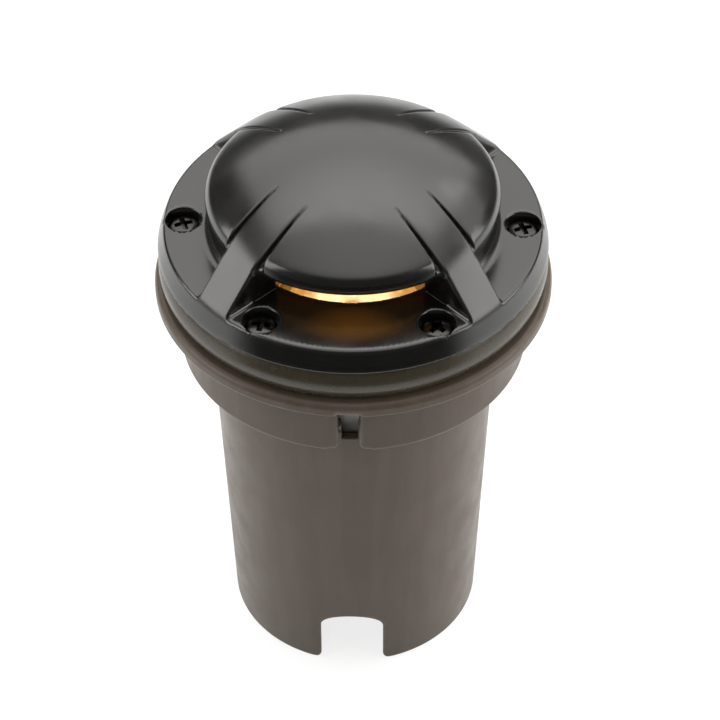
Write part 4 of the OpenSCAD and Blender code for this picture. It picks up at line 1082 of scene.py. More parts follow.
@dataclass
class Cover:
    """Cast cover: low dome, four strap ribs, four pockets, one slit under the front lip.

    Attributes:
        base_z: Height of its seat.
        height: Height of the dome over the seat.
        edge_r: Radius of its outer band.
        band_h: Height of the outer band.
        shoulder_r: Radius where the dome meets the flank.
        shoulder_h: Height there.
        pocket_r: Radius of the pockets' outer arc.
        pocket_edge_h: Height at which the flank meets that arc.
        floor_h: Height of the pockets' floor.
        rib_half_w: Half the width of a strap rib.
        lip_r: Radius across the lips.
        wall_r: Radius of the wall under the lips.
        cavity_r: Radius of the space inside.
        opening_r: Radius of the light opening.
        shell_t: Thickness of the dome.
        crown_r: Rounding of the lips' upper edge.
        under_r: Rounding of their lower edge.
        cove_r: Cove between the wall and the pockets' floor.
        shoulder_blend_r: Rounding between the dome and a rib's flank.
        rim_blend_r: Rounding between the flank and the outer band.
        groove_start: Distance along a rib at which the grooves beside it start.
        groove_w: Width that a groove reaches at the lip.
        groove_t: Depth that it reaches there.
        screw_circle_r: Radius of the screws' circle.
        bore_r: Radius of a counterbore.
        bore_floor_h: Height of its floor.
        screw_hole_r: Radius of a screw's hole.
        screws: Number of the screws.
        edge_soft: Rounding at the seat and the cavity, as a width.
        rim_soft: Rounding at the outer band.
        rib_soft: Rounding down a pocket's corners.
        groove_soft: Rounding of the grooves' edges.
        bore_soft: Rounding of the counterbores' edges.
        pocket_soft: Least and largest rounding of the pockets' edge.
        pocket_soft_r: Radius from which it grows outwards.
        slit_soft: Least and largest rounding of the slit's edge.
        slit_past: How far the slit runs past the cove, and how far inside the cove's end its rounding starts.
        soft_rise: Growth of both roundings for each millimetre.
        overrun: How far a cut runs past the metal.
        cell: Spacing of the grid across the cover.
        rib_cell: Spacing beside the ribs.
        rib_band: Distances from a rib's middle between which that spacing holds.
    """

    base_z: float = 148.0
    height: float = 35.4
    edge_r: float = 59.0
    band_h: float = 0.9
    shoulder_r: float = 44.0
    shoulder_h: float = 21.2
    pocket_r: float = 56.6
    pocket_edge_h: float = 7.9
    floor_h: float = 7.2
    rib_half_w: float = 6.2
    lip_r: float = 44.1
    wall_r: float = 42.5
    cavity_r: float = 37.0
    opening_r: float = 35.9
    shell_t: float = 3.0
    crown_r: float = 6.0
    under_r: float = 1.8
    cove_r: float = 3.4
    shoulder_blend_r: float = 30.0
    rim_blend_r: float = 10.0
    groove_start: float = 24.8
    groove_w: float = 1.5
    groove_t: float = 3.4
    screw_circle_r: float = 51.0
    bore_r: float = 5.45
    bore_floor_h: float = 2.0
    screw_hole_r: float = 2.6
    screws: int = 6
    edge_soft: float = 0.4
    rim_soft: float = 0.5
    rib_soft: float = 1.5
    groove_soft: float = 0.8
    bore_soft: float = 0.45
    pocket_soft: Point = (0.15, 0.9)
    pocket_soft_r: float = 42.0
    slit_soft: Point = (0.01, 0.5)
    slit_past: Point = (0.5, 0.4)
    soft_rise: float = 0.25
    overrun: float = 1.0
    cell: float = 0.84
    rib_cell: float = 0.25
    rib_band: Point = (5.4, 8.2)

    def __post_init__(self) -> None:
        """Works out the dome's sphere, the roof over the radius and the outline of a pocket."""
        fall = self.height - self.shoulder_h
        self.dome_r = (fall * fall + self.shoulder_r ** 2) / (2 * fall)
        self.dome_h = self.height - self.dome_r
        crown_x = self.lip_r - self.crown_r
        # A little more than the radii's difference, so that the crown just cuts through the dome
        reach = self.dome_r - self.crown_r + 0.01
        self.lip_h = self.dome_h + math.sqrt(reach * reach - crown_x * crown_x)
        crown_a = math.degrees(math.atan2(self.lip_h - self.dome_h, crown_x))
        self.under_h = self.lip_h + self.under_r * math.sin(math.radians(-75))
        self.roof_r, self.roof_z = self.roof_table()
        slope = np.gradient(self.roof_z, self.roof_r)
        self.roof_lean = 1 / np.sqrt(1 + slope * slope)
        end_x = crown_x + self.crown_r * math.cos(math.radians(crown_a))
        above = self.height + 6
        self.pocket = FlatShape(
            arc_points(self.wall_r + self.cove_r, self.floor_h + self.cove_r, self.cove_r, 270, 180)
            + [(self.wall_r, self.under_h)]
            + arc_points(self.lip_r - self.under_r, self.lip_h, self.under_r, -75, 0)
            + arc_points(crown_x, self.lip_h, self.crown_r, 0, crown_a, 60)
            + [(end_x, above), (self.pocket_r, above), (self.pocket_r, self.floor_h)], 0.08)

    def roof_table(self) -> tuple[Array, Array]:
        """Height of the cover over the radius where a rib runs, from the axis to past the outer band.

        Returns:
            Radii, and the height at each.
        """
        run, rise = self.pocket_r - self.shoulder_r, self.shoulder_h - self.pocket_edge_h
        flank_a = math.atan2(run, rise)
        along = np.array([-math.sin(flank_a), math.cos(flank_a)])
        base = np.array([self.pocket_r - self.shoulder_blend_r * math.cos(flank_a),
                         self.pocket_edge_h - self.dome_h - self.shoulder_blend_r * math.sin(flank_a)])
        dot = float(base @ along)
        gap = self.dome_r - self.shoulder_blend_r
        s = -dot + math.sqrt(dot * dot - float(base @ base) + gap ** 2)
        centre = base + s * along
        end_a = math.degrees(math.atan2(centre[1], centre[0]))
        band_a = math.atan2(self.edge_r - self.pocket_r, self.pocket_edge_h - self.band_h)
        tangent = self.rim_blend_r * math.tan((flank_a - band_a) / 2)
        rim = (self.pocket_r + tangent * math.sin(band_a) - self.rim_blend_r * math.cos(band_a),
               self.pocket_edge_h - tangent * math.cos(band_a) - self.rim_blend_r * math.sin(band_a))
        points = arc_points(0, self.dome_h, self.dome_r, 90, end_a, 400)
        flank, band = math.degrees(flank_a), math.degrees(band_a)
        points += arc_points(centre[0], self.dome_h + centre[1], self.shoulder_blend_r, end_a, flank, 120)
        points += arc_points(*rim, self.rim_blend_r, flank, band, 80)
        points += [(self.edge_r, self.band_h), (self.edge_r + 4, self.band_h - 11.7)]
        r, z = np.array(points).T
        fine = np.linspace(0, self.edge_r + 4, 4000)
        return fine, np.interp(fine, r, z)

    def solid(self, x: Array, y: Array, z: Array) -> Array:
        """Signed distance to the casting.

        Args:
            x: First coordinate of the points.
            y: Their second coordinate.
            z: Their height.

        Returns:
            The distances, negative inside.
        """
        z = z - self.base_z
        r = np.hypot(x, y)
        a, b = (x + y) * DIAGONAL, (y - x) * DIAGONAL
        side_a, side_b = np.abs(a), np.abs(b)
        roof = (z - np.interp(r, self.roof_r, self.roof_z)) * np.interp(r, self.roof_r, self.roof_lean)
        body = soft_max(soft_max(roof, r - self.edge_r, self.rim_soft), -z, self.edge_soft)
        between = np.maximum(self.rib_half_w - side_a, self.rib_half_w - side_b)
        pocket = soft_max(self.pocket(r, z), between, self.rib_soft)
        body = soft_max(body, -pocket, np.clip((r - self.pocket_soft_r) * self.soft_rise, *self.pocket_soft))
        dome = np.hypot(r, z - self.dome_h) - (self.dome_r - self.shell_t)
        cavity = np.maximum(np.maximum(r - self.cavity_r, self.floor_h - z), dome)
        opening = np.maximum(r - self.opening_r, z - self.floor_h - self.overrun)
        body = soft_max(body, -np.minimum(cavity, opening), self.edge_soft)
        front = np.maximum(self.rib_half_w + a, self.rib_half_w + b)
        slit = np.maximum(self.floor_h - z, z - self.under_h)
        slit = np.maximum(slit, np.maximum(front, self.opening_r - r))
        reach = self.wall_r + self.cove_r
        past, before = self.slit_past
        soft = np.clip((reach - before - r) * self.soft_rise, *self.slit_soft)
        body = soft_max(body, -np.maximum(slit, r - reach - past), soft)
        for along, across in ((side_a, side_b), (side_b, side_a)):
            body = soft_max(body, -self.groove(along, across, z), self.groove_soft)
        for i in range(self.screws):
            turn = math.radians(360 / self.screws * i)
            cx, cy = self.screw_circle_r * math.cos(turn), self.screw_circle_r * math.sin(turn)
            away = np.hypot(x - cx, y - cy)
            body = soft_max(body, -np.maximum(away - self.bore_r, self.bore_floor_h - z), self.bore_soft)
            body = np.maximum(body, self.screw_hole_r - away)
        return body

    def groove(self, along: Array, across: Array, z: Array) -> Array:
        """Distance to the grooves on both sides of two opposite ribs, which widen and deepen outwards.

        Args:
            along: Distance from the axis along the ribs.
            across: Distance from their middle line.
            z: Height over the seat.

        Returns:
            The distances, negative inside.
        """
        start = self.groove_start
        share = np.clip((along - start) / (self.lip_r + self.overrun - start), 0, 1)
        bed_start = self.dome_h + math.sqrt(self.dome_r ** 2 - start ** 2)
        bed_end = self.dome_h + math.sqrt(self.dome_r ** 2 - self.lip_r ** 2) - self.groove_t
        bed = bed_start + (bed_end - bed_start) * share
        half = share * self.groove_w / 2
        walls = np.maximum(np.abs(across - self.rib_half_w - half) - half, bed - z)
        return np.maximum(walls, np.maximum(start - along, along - self.lip_r - self.overrun))

    @staticmethod
    def diagonal(a: Array, b: Array, z: Array) -> Places:
        """Places of a grid that runs along the ribs."""
        return (a - b) * DIAGONAL, (a + b) * DIAGONAL, z

    def build(self) -> Object:
        """Makes the casting and puts it in the CAD cover's place.

        Returns:
            The piece.
        """
        edge = self.edge_r + 0.6
        near, far = self.rib_band
        coarse, fine = self.cell, self.rib_cell
        side = lines((-edge, -far, coarse), (-far, -near, fine), (-near, near, coarse), (near, far, fine),
                     (far, edge, coarse))
        # Start, end and spacing over the seat; narrow where the band, the pockets' floor and the lip turn
        up = lines((-0.6, 1.2, 0.45), (1.2, 3.0, 0.45), (3.0, 6.4, 0.7), (6.4, 9.0, 0.4), (9.0, 13.6, 0.8),
                   (13.6, 18.4, 0.42), (18.4, self.height + 0.8, 0.85))
        casting = Casting(self.solid, (side, side, up + self.base_z), self.diagonal, soften=0.2)
        piece = casting.build("cover_casting")
        piece.data.materials.append(Surface.BLACK_PAINT.material())
        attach(piece, "cover")
        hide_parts("cover")
        return piece


@dataclass
class GroundSleeve:
    """Moulded sleeve: ring, stepped collar with a notch and a window, tapered tube with a cable cut-out.

    Attributes:
        height: Height of the ring's top over the foot.
        ring_r: Radius of the ring.
        ring_t: Thickness of the ring.
        collar_r: Radius of the collar.
        collar_z: Height of the collar's foot.
        tube_r: Radius of the tube at its foot and its top.
        wall: Thickness of the walls.
        notch_w: Width of the collar's notch.
        window_w: Width of the window in the tube.
        window_z: Height of the window's sill.
        cut_w: Width of the cable cut-out.
        cut_h: Height of the cable cut-out.
        ring_edge_r: Rounding of the ring's upper edge.
        ring_under_r: Rounding of its lower edge.
        collar_edge_r: Rounding of the collar's foot.
        rim_r: Rounding of the tube's foot.
        notch_flare_r: Flare of the notch's foot.
        cut_arch_h: Height of the arch over the cable cut-out.
        cut_flare_r: Flare of the cut-out's foot.
        edge_blend: Rounding of the cut edges.
        notch_blend: Rounding of the notch's edges.
        below: How far a cut runs past the edge that it opens.
    """

    height: float = 136.5
    ring_r: float = 60.45
    ring_t: float = 4.5
    ring_edge_r: float = 2.0
    ring_under_r: float = 0.6
    collar_r: float = 53.3
    collar_z: float = 110.8
    collar_edge_r: float = 1.2
    tube_r: Point = (39.7, 44.1)
    wall: float = 2.5
    rim_r: float = 0.8
    notch_w: float = 5.9
    notch_flare_r: float = 2.4
    window_w: float = 5.0
    window_z: float = 107.0
    cut_w: float = 20.0
    cut_h: float = 22.5
    cut_arch_h: float = 6.0
    cut_flare_r: float = 2.6
    edge_blend: float = 0.8
    notch_blend: float = 2.2
    below: float = 3.0

    def __post_init__(self) -> None:
        """Tabulates the wall's profile and the outlines of the notch and the cable cut-out."""
        foot, top = self.tube_r
        step_z = self.height - self.ring_t
        rim, edge, under, ring = self.rim_r, self.collar_edge_r, self.ring_under_r, self.ring_edge_r
        inside, ledge_z = self.collar_r - self.wall, self.collar_z + self.wall
        self.profile = FlatShape(
            [(foot - self.wall, 0.0)]
            + arc_points(foot - rim, rim, rim, -90, 0, 8)
            + [(top, self.collar_z)]
            + arc_points(self.collar_r - edge, self.collar_z + edge, edge, -90, 0, 8)
            + [(self.collar_r, step_z)]
            + arc_points(self.ring_r - under, step_z + under, under, -90, 0, 6)
            + arc_points(self.ring_r - ring, self.height - ring, ring, 0, 90, 10)
            + [(inside, self.height), (inside, ledge_z), (top - self.wall, ledge_z)], 0.1)
        half, rise = self.cut_w / 2, self.cut_arch_h
        spring = self.cut_h - rise
        turns = np.linspace(0, math.pi, 40)
        arch = [(half * math.cos(a), spring + rise * math.sin(a)) for a in turns]
        self.cut_out = FlatShape(self.flared(half, self.cut_flare_r, arch), 0.15)
        half, top = self.notch_w / 2, step_z - self.collar_z
        self.notch = FlatShape(self.flared(half, self.notch_flare_r, [(half, top), (-half, top)]), 0.1)

    def flared(self, half: float, flare: float, top: list[Point]) -> list[Point]:
        """Outline of an opening in an edge, with a flared foot.

        Args:
            half: Half the opening's width.
            flare: Radius of the flare.
            top: Outline over the foot, from right to left.

        Returns:
            The outline's corners.
        """
        out, low = half + flare, -self.below
        right = [(out, low), (out, 0.0)] + arc_points(out, flare, flare, 270, 180, 8)
        return right + top + arc_points(-out, flare, flare, 0, -90, 8) + [(-out, low)]

    def solid(self, x: Array, y: Array, z: Array) -> Array:
        """Signed distance to the sleeve.

        Args:
            x: First coordinate of the points.
            y: Their second coordinate.
            z: Their height.

        Returns:
            The distances, negative inside.
        """
        body = self.profile(np.hypot(x, y), z)
        foot, top = self.tube_r
        above = np.maximum(self.collar_z - z, self.notch(x, z - self.collar_z))
        body = soft_max(body, -np.maximum(above, y + top), self.notch_blend)
        half_h = (self.collar_z + self.wall - self.window_z) / 2
        window = np.maximum(np.abs(x) - self.window_w / 2, np.abs(z - self.window_z - half_h) - half_h)
        body = soft_max(body, -np.maximum(window, y + foot), self.edge_blend / 2)
        return soft_max(body, -np.maximum(self.cut_out(x, z), y + foot - 3 * self.wall), self.edge_blend)

    @staticmethod
    def around(a: Array, r: Array, z: Array) -> Places:
        """Places at a turn in degrees from the front, a radius and a height."""
        return -r * np.sin(np.radians(a)), -r * np.cos(np.radians(a)), z

    def build(self) -> Object:
        """Makes the sleeve on a grid round the axis and puts it in the CAD sleeve's place.

        Returns:
            The piece.
        """
        # Start, end and spacing, narrow where the openings and the steps are
        turn = lines((-180, -22, 1.6), (-22, -7, 0.8), (-7, 7, 0.4), (7, 22, 0.8), (22, 180, 1.6))
        across = lines((36.0, self.ring_r + 1.0, 0.42))
        up = lines((-0.6, 1.5, 0.3), (1.5, 24.0, 0.9), (24.0, 106.0, 3.2), (106.0, 115.0, 0.5),
                   (115.0, 130.0, 1.3), (130.0, self.height + 0.8, 0.33))
        piece = Casting(self.solid, (turn, across, up), self.around, ring=True).build("sleeve_moulding")
        piece.data.materials.append(Surface.BROWN_COMPOSITE.material())
        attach(piece, "ground_sleeve")
        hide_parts("ground_sleeve")
        return piece


@dataclass
class LampHousing:
    """Cast canister with its flange, glass recess and screw bosses, turned from one profile.

    Attributes:
        foot_z: Height of the canister's foot.
        top_z: Height of the flange's top.
        flange_r: Radius of the flange.
        flange_h: Height of the flange.
        recess_r: Radius of the glass recess.
        ledge_z: Height of the ledge under the glass.
        ledge_r: Radius inside the ledge.
        bowl_r: Radius of the bowl under the flange.
        canister_r: Radius of the canister at its foot and its top.
        wall: Thickness of the walls.
        fillet: Rounding of the casting's corners.
        bead_r: Radius of the flange's bead.
        bead_top_z: Height of the bead's top.
        bead_foot_z: Height of its foot.
        edge_step: Bevel between the bead and the flange's faces.
        ledge_t: Thickness of the ledge.
        neck_z: Height at which the bowl starts to narrow.
        canister_z: Height of the canister's top.
        floor_z: Height of the floor's upper face.
        core_r: Radii of the hollow under the flange.
        core_z: Height of its roof.
        boss_r: Radius of a screw's boss in it.
        screw_circle_r: Radius of the screws' circle.
        screw_hole_r: Radius of a screw's hole.
        screw_reach: Depth of the holes.
        screws: Number of the screws.
        stand_x: Distance of the stand's screws from the axis.
        stand_boss_r: Radius of their bosses.
        stand_hole_r: Radius of their holes.
        stand_hole_z: Heights between which these are drilled.
        gland_hole_r: Radius of the cable gland's hole.
        foot_step: Bevel of the canister's foot.
        sides: Number of steps round the axis.
    """

    foot_z: float = 26.0
    top_z: float = 147.7
    flange_r: float = 59.0
    flange_h: float = 10.9
    bead_r: float = 8.6
    bead_top_z: float = 147.45
    bead_foot_z: float = 137.5
    recess_r: float = 45.0
    ledge_z: float = 139.5
    ledge_r: float = 37.5
    ledge_t: float = 4.2
    bowl_r: float = 47.5
    neck_z: float = 121.3
    canister_z: float = 113.8
    canister_r: Point = (36.6, 38.2)
    wall: float = 3.0
    floor_z: float = 30.0
    core_r: Point = (48.0, 55.85)
    core_z: float = 144.7
    boss_r: float = 4.8
    screw_circle_r: float = 51.0
    screw_hole_r: float = 2.5
    screw_reach: float = 8.05
    stand_x: float = 24.5
    stand_boss_r: float = 4.0
    stand_hole_r: float = 1.75
    stand_hole_z: Point = (27.95, 35.0)
    gland_hole_r: float = 7.85
    fillet: float = 0.3
    edge_step: float = 0.4
    foot_step: float = 0.8
    screws: int = 6
    sides: int = 192

    def profile(self) -> list[Point]:
        """The housing's profile, from the floor's upper face over inside and outside to its lower face.

        Returns:
            Its corners as radius and height.
        """
        base = self.top_z - self.flange_h
        foot_r, top_r = self.canister_r
        core_in, core_out = self.core_r
        bowl, under = self.bowl_r - self.wall, self.ledge_z - self.ledge_t
        inner = [(0.0, self.floor_z), (foot_r - self.wall, self.floor_z),
                 (top_r - self.wall, self.canister_z), (bowl, self.neck_z), (bowl, under),
                 (self.ledge_r, under), (self.ledge_r, self.ledge_z), (self.recess_r, self.ledge_z),
                 (self.recess_r, self.top_z)]
        bead_a = math.degrees(math.asin((self.bead_top_z - self.bead_foot_z) / 2 / self.bead_r))
        middle = (self.flange_r - self.bead_r, (self.bead_top_z + self.bead_foot_z) / 2)
        bead = arc_points(*middle, self.bead_r, bead_a, -bead_a, 16)
        side = [(bead[0][0] - self.edge_step, self.top_z)] + bead
        foot = [(bead[-1][0], base + self.edge_step), (bead[-1][0] - self.edge_step, base)]
        outer = [(core_out, base), (core_out, self.core_z), (core_in, self.core_z), (core_in, base),
                 (self.bowl_r, base), (self.bowl_r, self.neck_z), (top_r, self.canister_z),
                 (foot_r, self.foot_z + self.foot_step), (foot_r - self.foot_step, self.foot_z),
                 (0.0, self.foot_z)]
        return inner + side + foot + outer

    def pair(self, grow: Grower, shape: Wire) -> list[Wire]:
        """A shape at the places of the stand's two screws."""
        return [grow.moved(shape, (x, 0.0, 0.0)) for x in (-self.stand_x, self.stand_x)]

    def build(self) -> Object:
        """Grows the casting, adds its bosses, drills it and puts it in the CAD housing's place.

        Returns:
            The piece.
        """
        grow = Grower("housing_casting")
        fillet, sides = grow.size("Fillet", self.fillet), grow.number("Sides", self.sides)
        body = grow.turned("Profile", self.profile(), fillet, sides)
        count = grow.number("Screws", self.screws)
        circle = grow.size("Screw circle", self.screw_circle_r)
        # The bosses and the holes run a little past the faces that they meet
        base = self.top_z - self.flange_h
        boss = grow.rod(grow.size("Boss radius", self.boss_r), base + 0.01, self.core_z + 1.5)
        stand = self.pair(grow, grow.rod(self.stand_boss_r * MM, self.floor_z - 2, self.floor_z + 4))
        body = grow.fused(body, grow.joined(grow.ring_of(boss, count, circle), *stand))
        radius = grow.size("Hole radius", self.screw_hole_r)
        hole = grow.rod(radius, self.top_z - self.screw_reach, self.top_z + 1)
        drilled = self.pair(grow, grow.rod(self.stand_hole_r * MM, *self.stand_hole_z))
        gland = grow.rod(self.gland_hole_r * MM, self.foot_z - 1, self.floor_z + 1)
        body = grow.cut(body, grow.joined(grow.ring_of(hole, count, circle), *drilled, gland))
        piece = grow.grow(body, Surface.BRONZE_PAINT.material())
        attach(piece, "housing")
        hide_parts("lamp_housing")
        return piece


@dataclass
class CoverScrews:
    """Six cross-head screws with their washers, copied round the cover.

    Attributes:
        circle_r: Radius of the circle they stand on.
        seat_z: Height under the heads.
        head_r: Radius of a head.
        head_h: Height of a head.
        shank_r: Radius over the thread.
        reach: Length of the shank.
        pitch: Height of one turn of the thread.
        turn: Turn of the first screw's cross in degrees.
        crown: Height over the seat at which the crown starts, and the power that gives its bulge.
        chamfer: Bevel under the head.
        neck: Plain length under the head, and the depth at which the thread starts.
        thread_t: Depth of the thread.
        tip: Bevel of the shank's end.
        slot_l: Length of the cross at its top.
        slot_w: Width of its bars.
        slot_depth: Depth of the cross.
        slot_taper: Radii of the cutter at its top and its foot, in lengths of the cross.
        washer_t: Thickness of a washer.
        washer_r: Radius of a washer.
        washer_bore_r: Radius of its bore.
        count: Number of the screws.
    """

    circle_r: float = 51.0
    seat_z: float = 150.6
    head_r: float = 4.9
    head_h: float = 3.0
    shank_r: float = 2.45
    reach: float = 10.9
    pitch: float = 0.8
    turn: float = 20.0
    crown: Point = (1.0, 0.82)
    chamfer: float = 0.25
    neck: Point = (0.6, 1.2)
    thread_t: float = 0.36
    tip: float = 0.6
    slot_l: float = 6.2
    slot_w: float = 1.8
    slot_depth: float = 1.9
    slot_taper: Point = (0.75, 0.42)
    washer_t: float = 0.6
    washer_r: float = 5.3
    washer_bore_r: float = 2.5
    count: int = 6

    def profile(self) -> list[Point]:
        """Profile of one screw, from the crown down the head and the thread to its tip.

        Returns:
            Its corners as radius and height.
        """
        low, bulge = self.crown
        crown = [(self.head_r * math.sin(a) ** bulge, low + (self.head_h - low) * math.cos(a) ** bulge)
                 for a in np.linspace(0, math.pi / 2, 14)]
        head = [(self.head_r, self.chamfer), (self.head_r - self.chamfer, 0.0), (self.shank_r, 0.0),
                (self.shank_r, -self.neck[0])]
        thread = []
        z = -self.neck[1]
        while z > self.pitch * 1.5 - self.reach:
            thread += [(self.shank_r, z), (self.shank_r - self.thread_t, z - self.pitch / 2)]
            z -= self.pitch
        end = [(self.shank_r - 0.1, self.tip - self.reach), (self.shank_r - self.tip, -self.reach),
               (0.0, -self.reach)]
        return crown + head + thread + end

    def blade(self, grow: Grower, length: Wire, turn: float) -> Wire:
        """Makes one tapered bar of the cross in the head.

        Args:
            grow: The tree that it is grown in.
            length: Length of the cross.
            turn: Turn of the bar in degrees.

        Returns:
            The bar.
        """
        wide, narrow = self.slot_taper
        size = {"Vertices": 4, "Radius Top": length * wide, "Radius Bottom": length * narrow,
                "Depth": (self.slot_depth + 0.6) * MM}
        bar = grow.moved(grow.tree.wire("GeometryNodeMeshCone", size, out="Mesh"), turn=45.0)
        thin = grow.moved(bar, scale=(1.0, self.slot_w / self.slot_l, 1.0))
        return grow.moved(thin, (0.0, 0.0, self.head_h - self.slot_depth), turn)

    def build(self) -> list[Object]:
        """Grows the screws and the washers and puts them in their CAD nodes' places.

        Returns:
            The screws and the washers, one piece each.
        """
        grow = Grower("cross_head_screws")
        screw = grow.turned("Profile", self.profile(), grow.size("Fillet", 0.05), grow.number("Sides", 40))
        length = grow.size("Cross length", self.slot_l)
        for turn in (0.0, 90.0):
            screw = grow.cut(screw, self.blade(grow, length, turn))
        placed = grow.moved(screw, (0.0, 0.0, self.seat_z), self.turn)
        count = grow.number("Screws", self.count)
        ring = grow.ring_of(placed, count, grow.size("Screw circle", self.circle_r))
        screws = grow.grow(ring, Surface.BLACK_STEEL.material())
        wash = Grower("screw_washer_rings")
        low, high = self.seat_z - self.washer_t, self.seat_z
        bore, edge = self.washer_bore_r, self.washer_r
        outline = [(bore, high), (edge, high), (edge, low), (bore, low)]
        fillet, sides = wash.size("Fillet", 0.12), wash.number("Sides", 48)
        one = wash.turned("Profile", outline, fillet, sides, closed=True)
        count = wash.number("Screws", self.count)
        rings = wash.ring_of(one, count, wash.size("Screw circle", self.circle_r))
        washers = wash.grow(rings, Surface.PLAIN_STEEL.material())
        for piece, node, slot in ((screws, "cover_screws", "black_steel"),
                                  (washers, "screw_washers", "plain_steel")):
            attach(piece, frame["nodes"][node].parent.name.split(":")[-1])
            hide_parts(node)
        return [screws, washers]


class LampShape(Enum):
    """Outlines of a flat light."""

    RECTANGLE = "RECTANGLE"
    ELLIPSE = "ELLIPSE"


def glow(name: str, at: Place, facing: Place, size: Point, radiance: float, tone: Colour,
         shape: LampShape = LampShape.ELLIPSE) -> Object:
    """Makes one flat light that the camera doesn't see.

    Args:
        name: Name of the light.
        at: Its middle in millimetres.
        facing: Direction of its light.
        size: Width and height in millimetres.
        radiance: Brightness of its face, where a white surface in even light of 1 shows 1.
        tone: Colour of the light.
        shape: Outline of the light.

    Returns:
        The light's object.
    """
    data = bpy.data.lights.new(name, "AREA")
    data.shape = shape.value
    data.size, data.size_y = size[0] * MM, size[1] * MM
    data.energy = radiance * math.pi * data.size * data.size_y
    data.color = tone
    lamp = new_object(name, data)
    lamp.location = Vector(at) * MM
    lamp.rotation_mode = "QUATERNION"
    lamp.rotation_quaternion = (-Vector(facing)).to_track_quat("Z", "Y")
    lamp.visible_camera = False
    return lamp


@dataclass
class LampFace:
    """The lamp's moulded face of small lenses and the beam that it throws up into the dome.

    Attributes:
        face_z: Height of the face.
        face_r: Radius of the face.
        face_t: Thickness of the moulding.
        lens_mm: Distance between two lenses.
        lens_h: Height of a lens over the disc.
        glass_z: Height over the glass, where the beam leaves.
        beam: Brightness of the beam.
        beam_tone: Colour of the beam.
        bowl_glow: Brightness of the light that the glass throws back into the bowl.
        slit_glow: Brightness of the light that spills through the slit.
        slit_tone: Colour of that light.
        slit_steps: Sizes of its nested faces, for a soft edge.
        slit_at: Place of the first of them.
        slit_facing: Direction of their light.
        slit_size: Width and height of the first.
        slit_gap: Distance from one to the next.
        bowl_z: Height of the bowl's light.
        bowl_d: Its width.
        lens_r: Radius of a lens before it is flattened.
        lens_margin: Edge of the face that has no lens.
        rim_w: Width of the face's raised rim.
    """

    face_z: float = 120.2
    face_r: float = 21.2
    face_t: float = 2.4
    lens_mm: float = 3.3
    lens_h: float = 0.6
    glass_z: float = 146.6
    beam: float = 11.0
    beam_tone: Colour = (1.0, 0.42, 0.06)
    bowl_glow: float = 0.8
    slit_glow: float = 0.1
    slit_tone: Colour = (1.0, 0.36, 0.02)
    slit_steps: tuple[float, ...] = (1.0, 0.78, 0.56, 0.34)
    slit_at: Place = (1.2, -40.0, 160.4)
    slit_facing: Place = (0.0, -0.65, -0.76)
    slit_size: Point = (28.0, 10.0)
    slit_gap: float = 0.1
    bowl_z: float = 138.0
    bowl_d: float = 60.0
    lens_r: float = 1.85
    lens_margin: float = 1.7
    rim_w: float = 1.2

    def lenses(self, grow: Grower) -> Wire:
        """Sets small domes in staggered rows over the face.

        Args:
            grow: The tree that they are grown in.

        Returns:
            The domes.
        """
        tree = grow.tree
        pitch = grow.size("Lens pitch", self.lens_mm)
        row_step = math.sqrt(0.75)
        across = 2 * int(self.face_r / self.lens_mm) + 3
        rows = 2 * int(self.face_r / self.lens_mm / row_step) + 3
        field = {"Size X": pitch * (across - 1), "Vertices X": across,
                 "Size Y": pitch * ((rows - 1) * row_step), "Vertices Y": rows}
        spots = tree.wire("GeometryNodeMeshGrid", field, out="Mesh")
        index = tree.wire("GeometryNodeInputIndex")
        odd = tree.wire("ShaderNodeMath", {0: index, 1: 2.0}, operation="MODULO")
        shift = tree.wire("ShaderNodeCombineXYZ", {"X": odd * pitch * 0.5})
        spots = tree.wire("GeometryNodeSetPosition", {"Geometry": spots, "Offset": shift})
        away = tree.length(tree.wire("GeometryNodeInputPosition"))
        outside = away.above((self.face_r - self.lens_margin) * MM)
        spots = tree.wire("GeometryNodeDeleteGeometry", {"Geometry": spots, "Selection": outside})
        size = {"Segments": 20, "Rings": 12, "Radius": grow.size("Lens radius", self.lens_r)}
        bulb = tree.wire("GeometryNodeMeshUVSphere", size, out="Mesh")
        flat = grow.moved(bulb, (0.0, 0.0, self.face_z - 2 * self.lens_h),
                          scale=(1.0, 1.0, 2 * self.lens_h / self.lens_r))
        return tree.wire("GeometryNodeInstanceOnPoints", {"Points": spots, "Instance": flat})

    def lights(self) -> None:
        """Hangs the beam, the light in the bowl and the spill in the slit."""
        across = 2 * (self.face_r - 2)
        beam = glow("lamp_beam", (0.0, 0.0, self.glass_z), (0.0, 0.0, 1.0), (across, across), self.beam,
                    self.beam_tone)
        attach(beam, "housing")
        bowl = glow("bowl_glow", (0.0, 0.0, self.bowl_z), (0.0, 0.0, -1.0), (self.bowl_d, self.bowl_d),
                    self.bowl_glow, self.beam_tone)
        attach(bowl, "housing")
        x, y, z = self.slit_at
        width, height = self.slit_size
        for step, share in enumerate(self.slit_steps):
            spill = glow(f"slit_glow_{step}", (x, y - self.slit_gap * step, z), self.slit_facing,
                         (width * share, height * share), self.slit_glow, self.slit_tone)
            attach(spill, "cover")

    def build(self) -> Object:
        """Grows the face with its lenses and hangs its lights.

        Returns:
            The piece.
        """
        grow = Grower("lens_field")
        lenses = self.lenses(grow)
        low, high, r = self.face_z - self.face_t, self.face_z - self.lens_h, self.face_r
        inside = r - self.rim_w
        rim = [(0.0, high), (inside, high), (inside, self.face_z), (r, self.face_z), (r, low), (0.0, low)]
        disc = grow.turned("Profile", rim, grow.size("Fillet", 0.15), grow.number("Sides", 96))
        piece = grow.grow(grow.joined(disc, lenses), Surface.LIT_OPTIC.material())
        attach(piece, "lamp")
        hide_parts("lamp_optic")
        self.lights()
        return piece


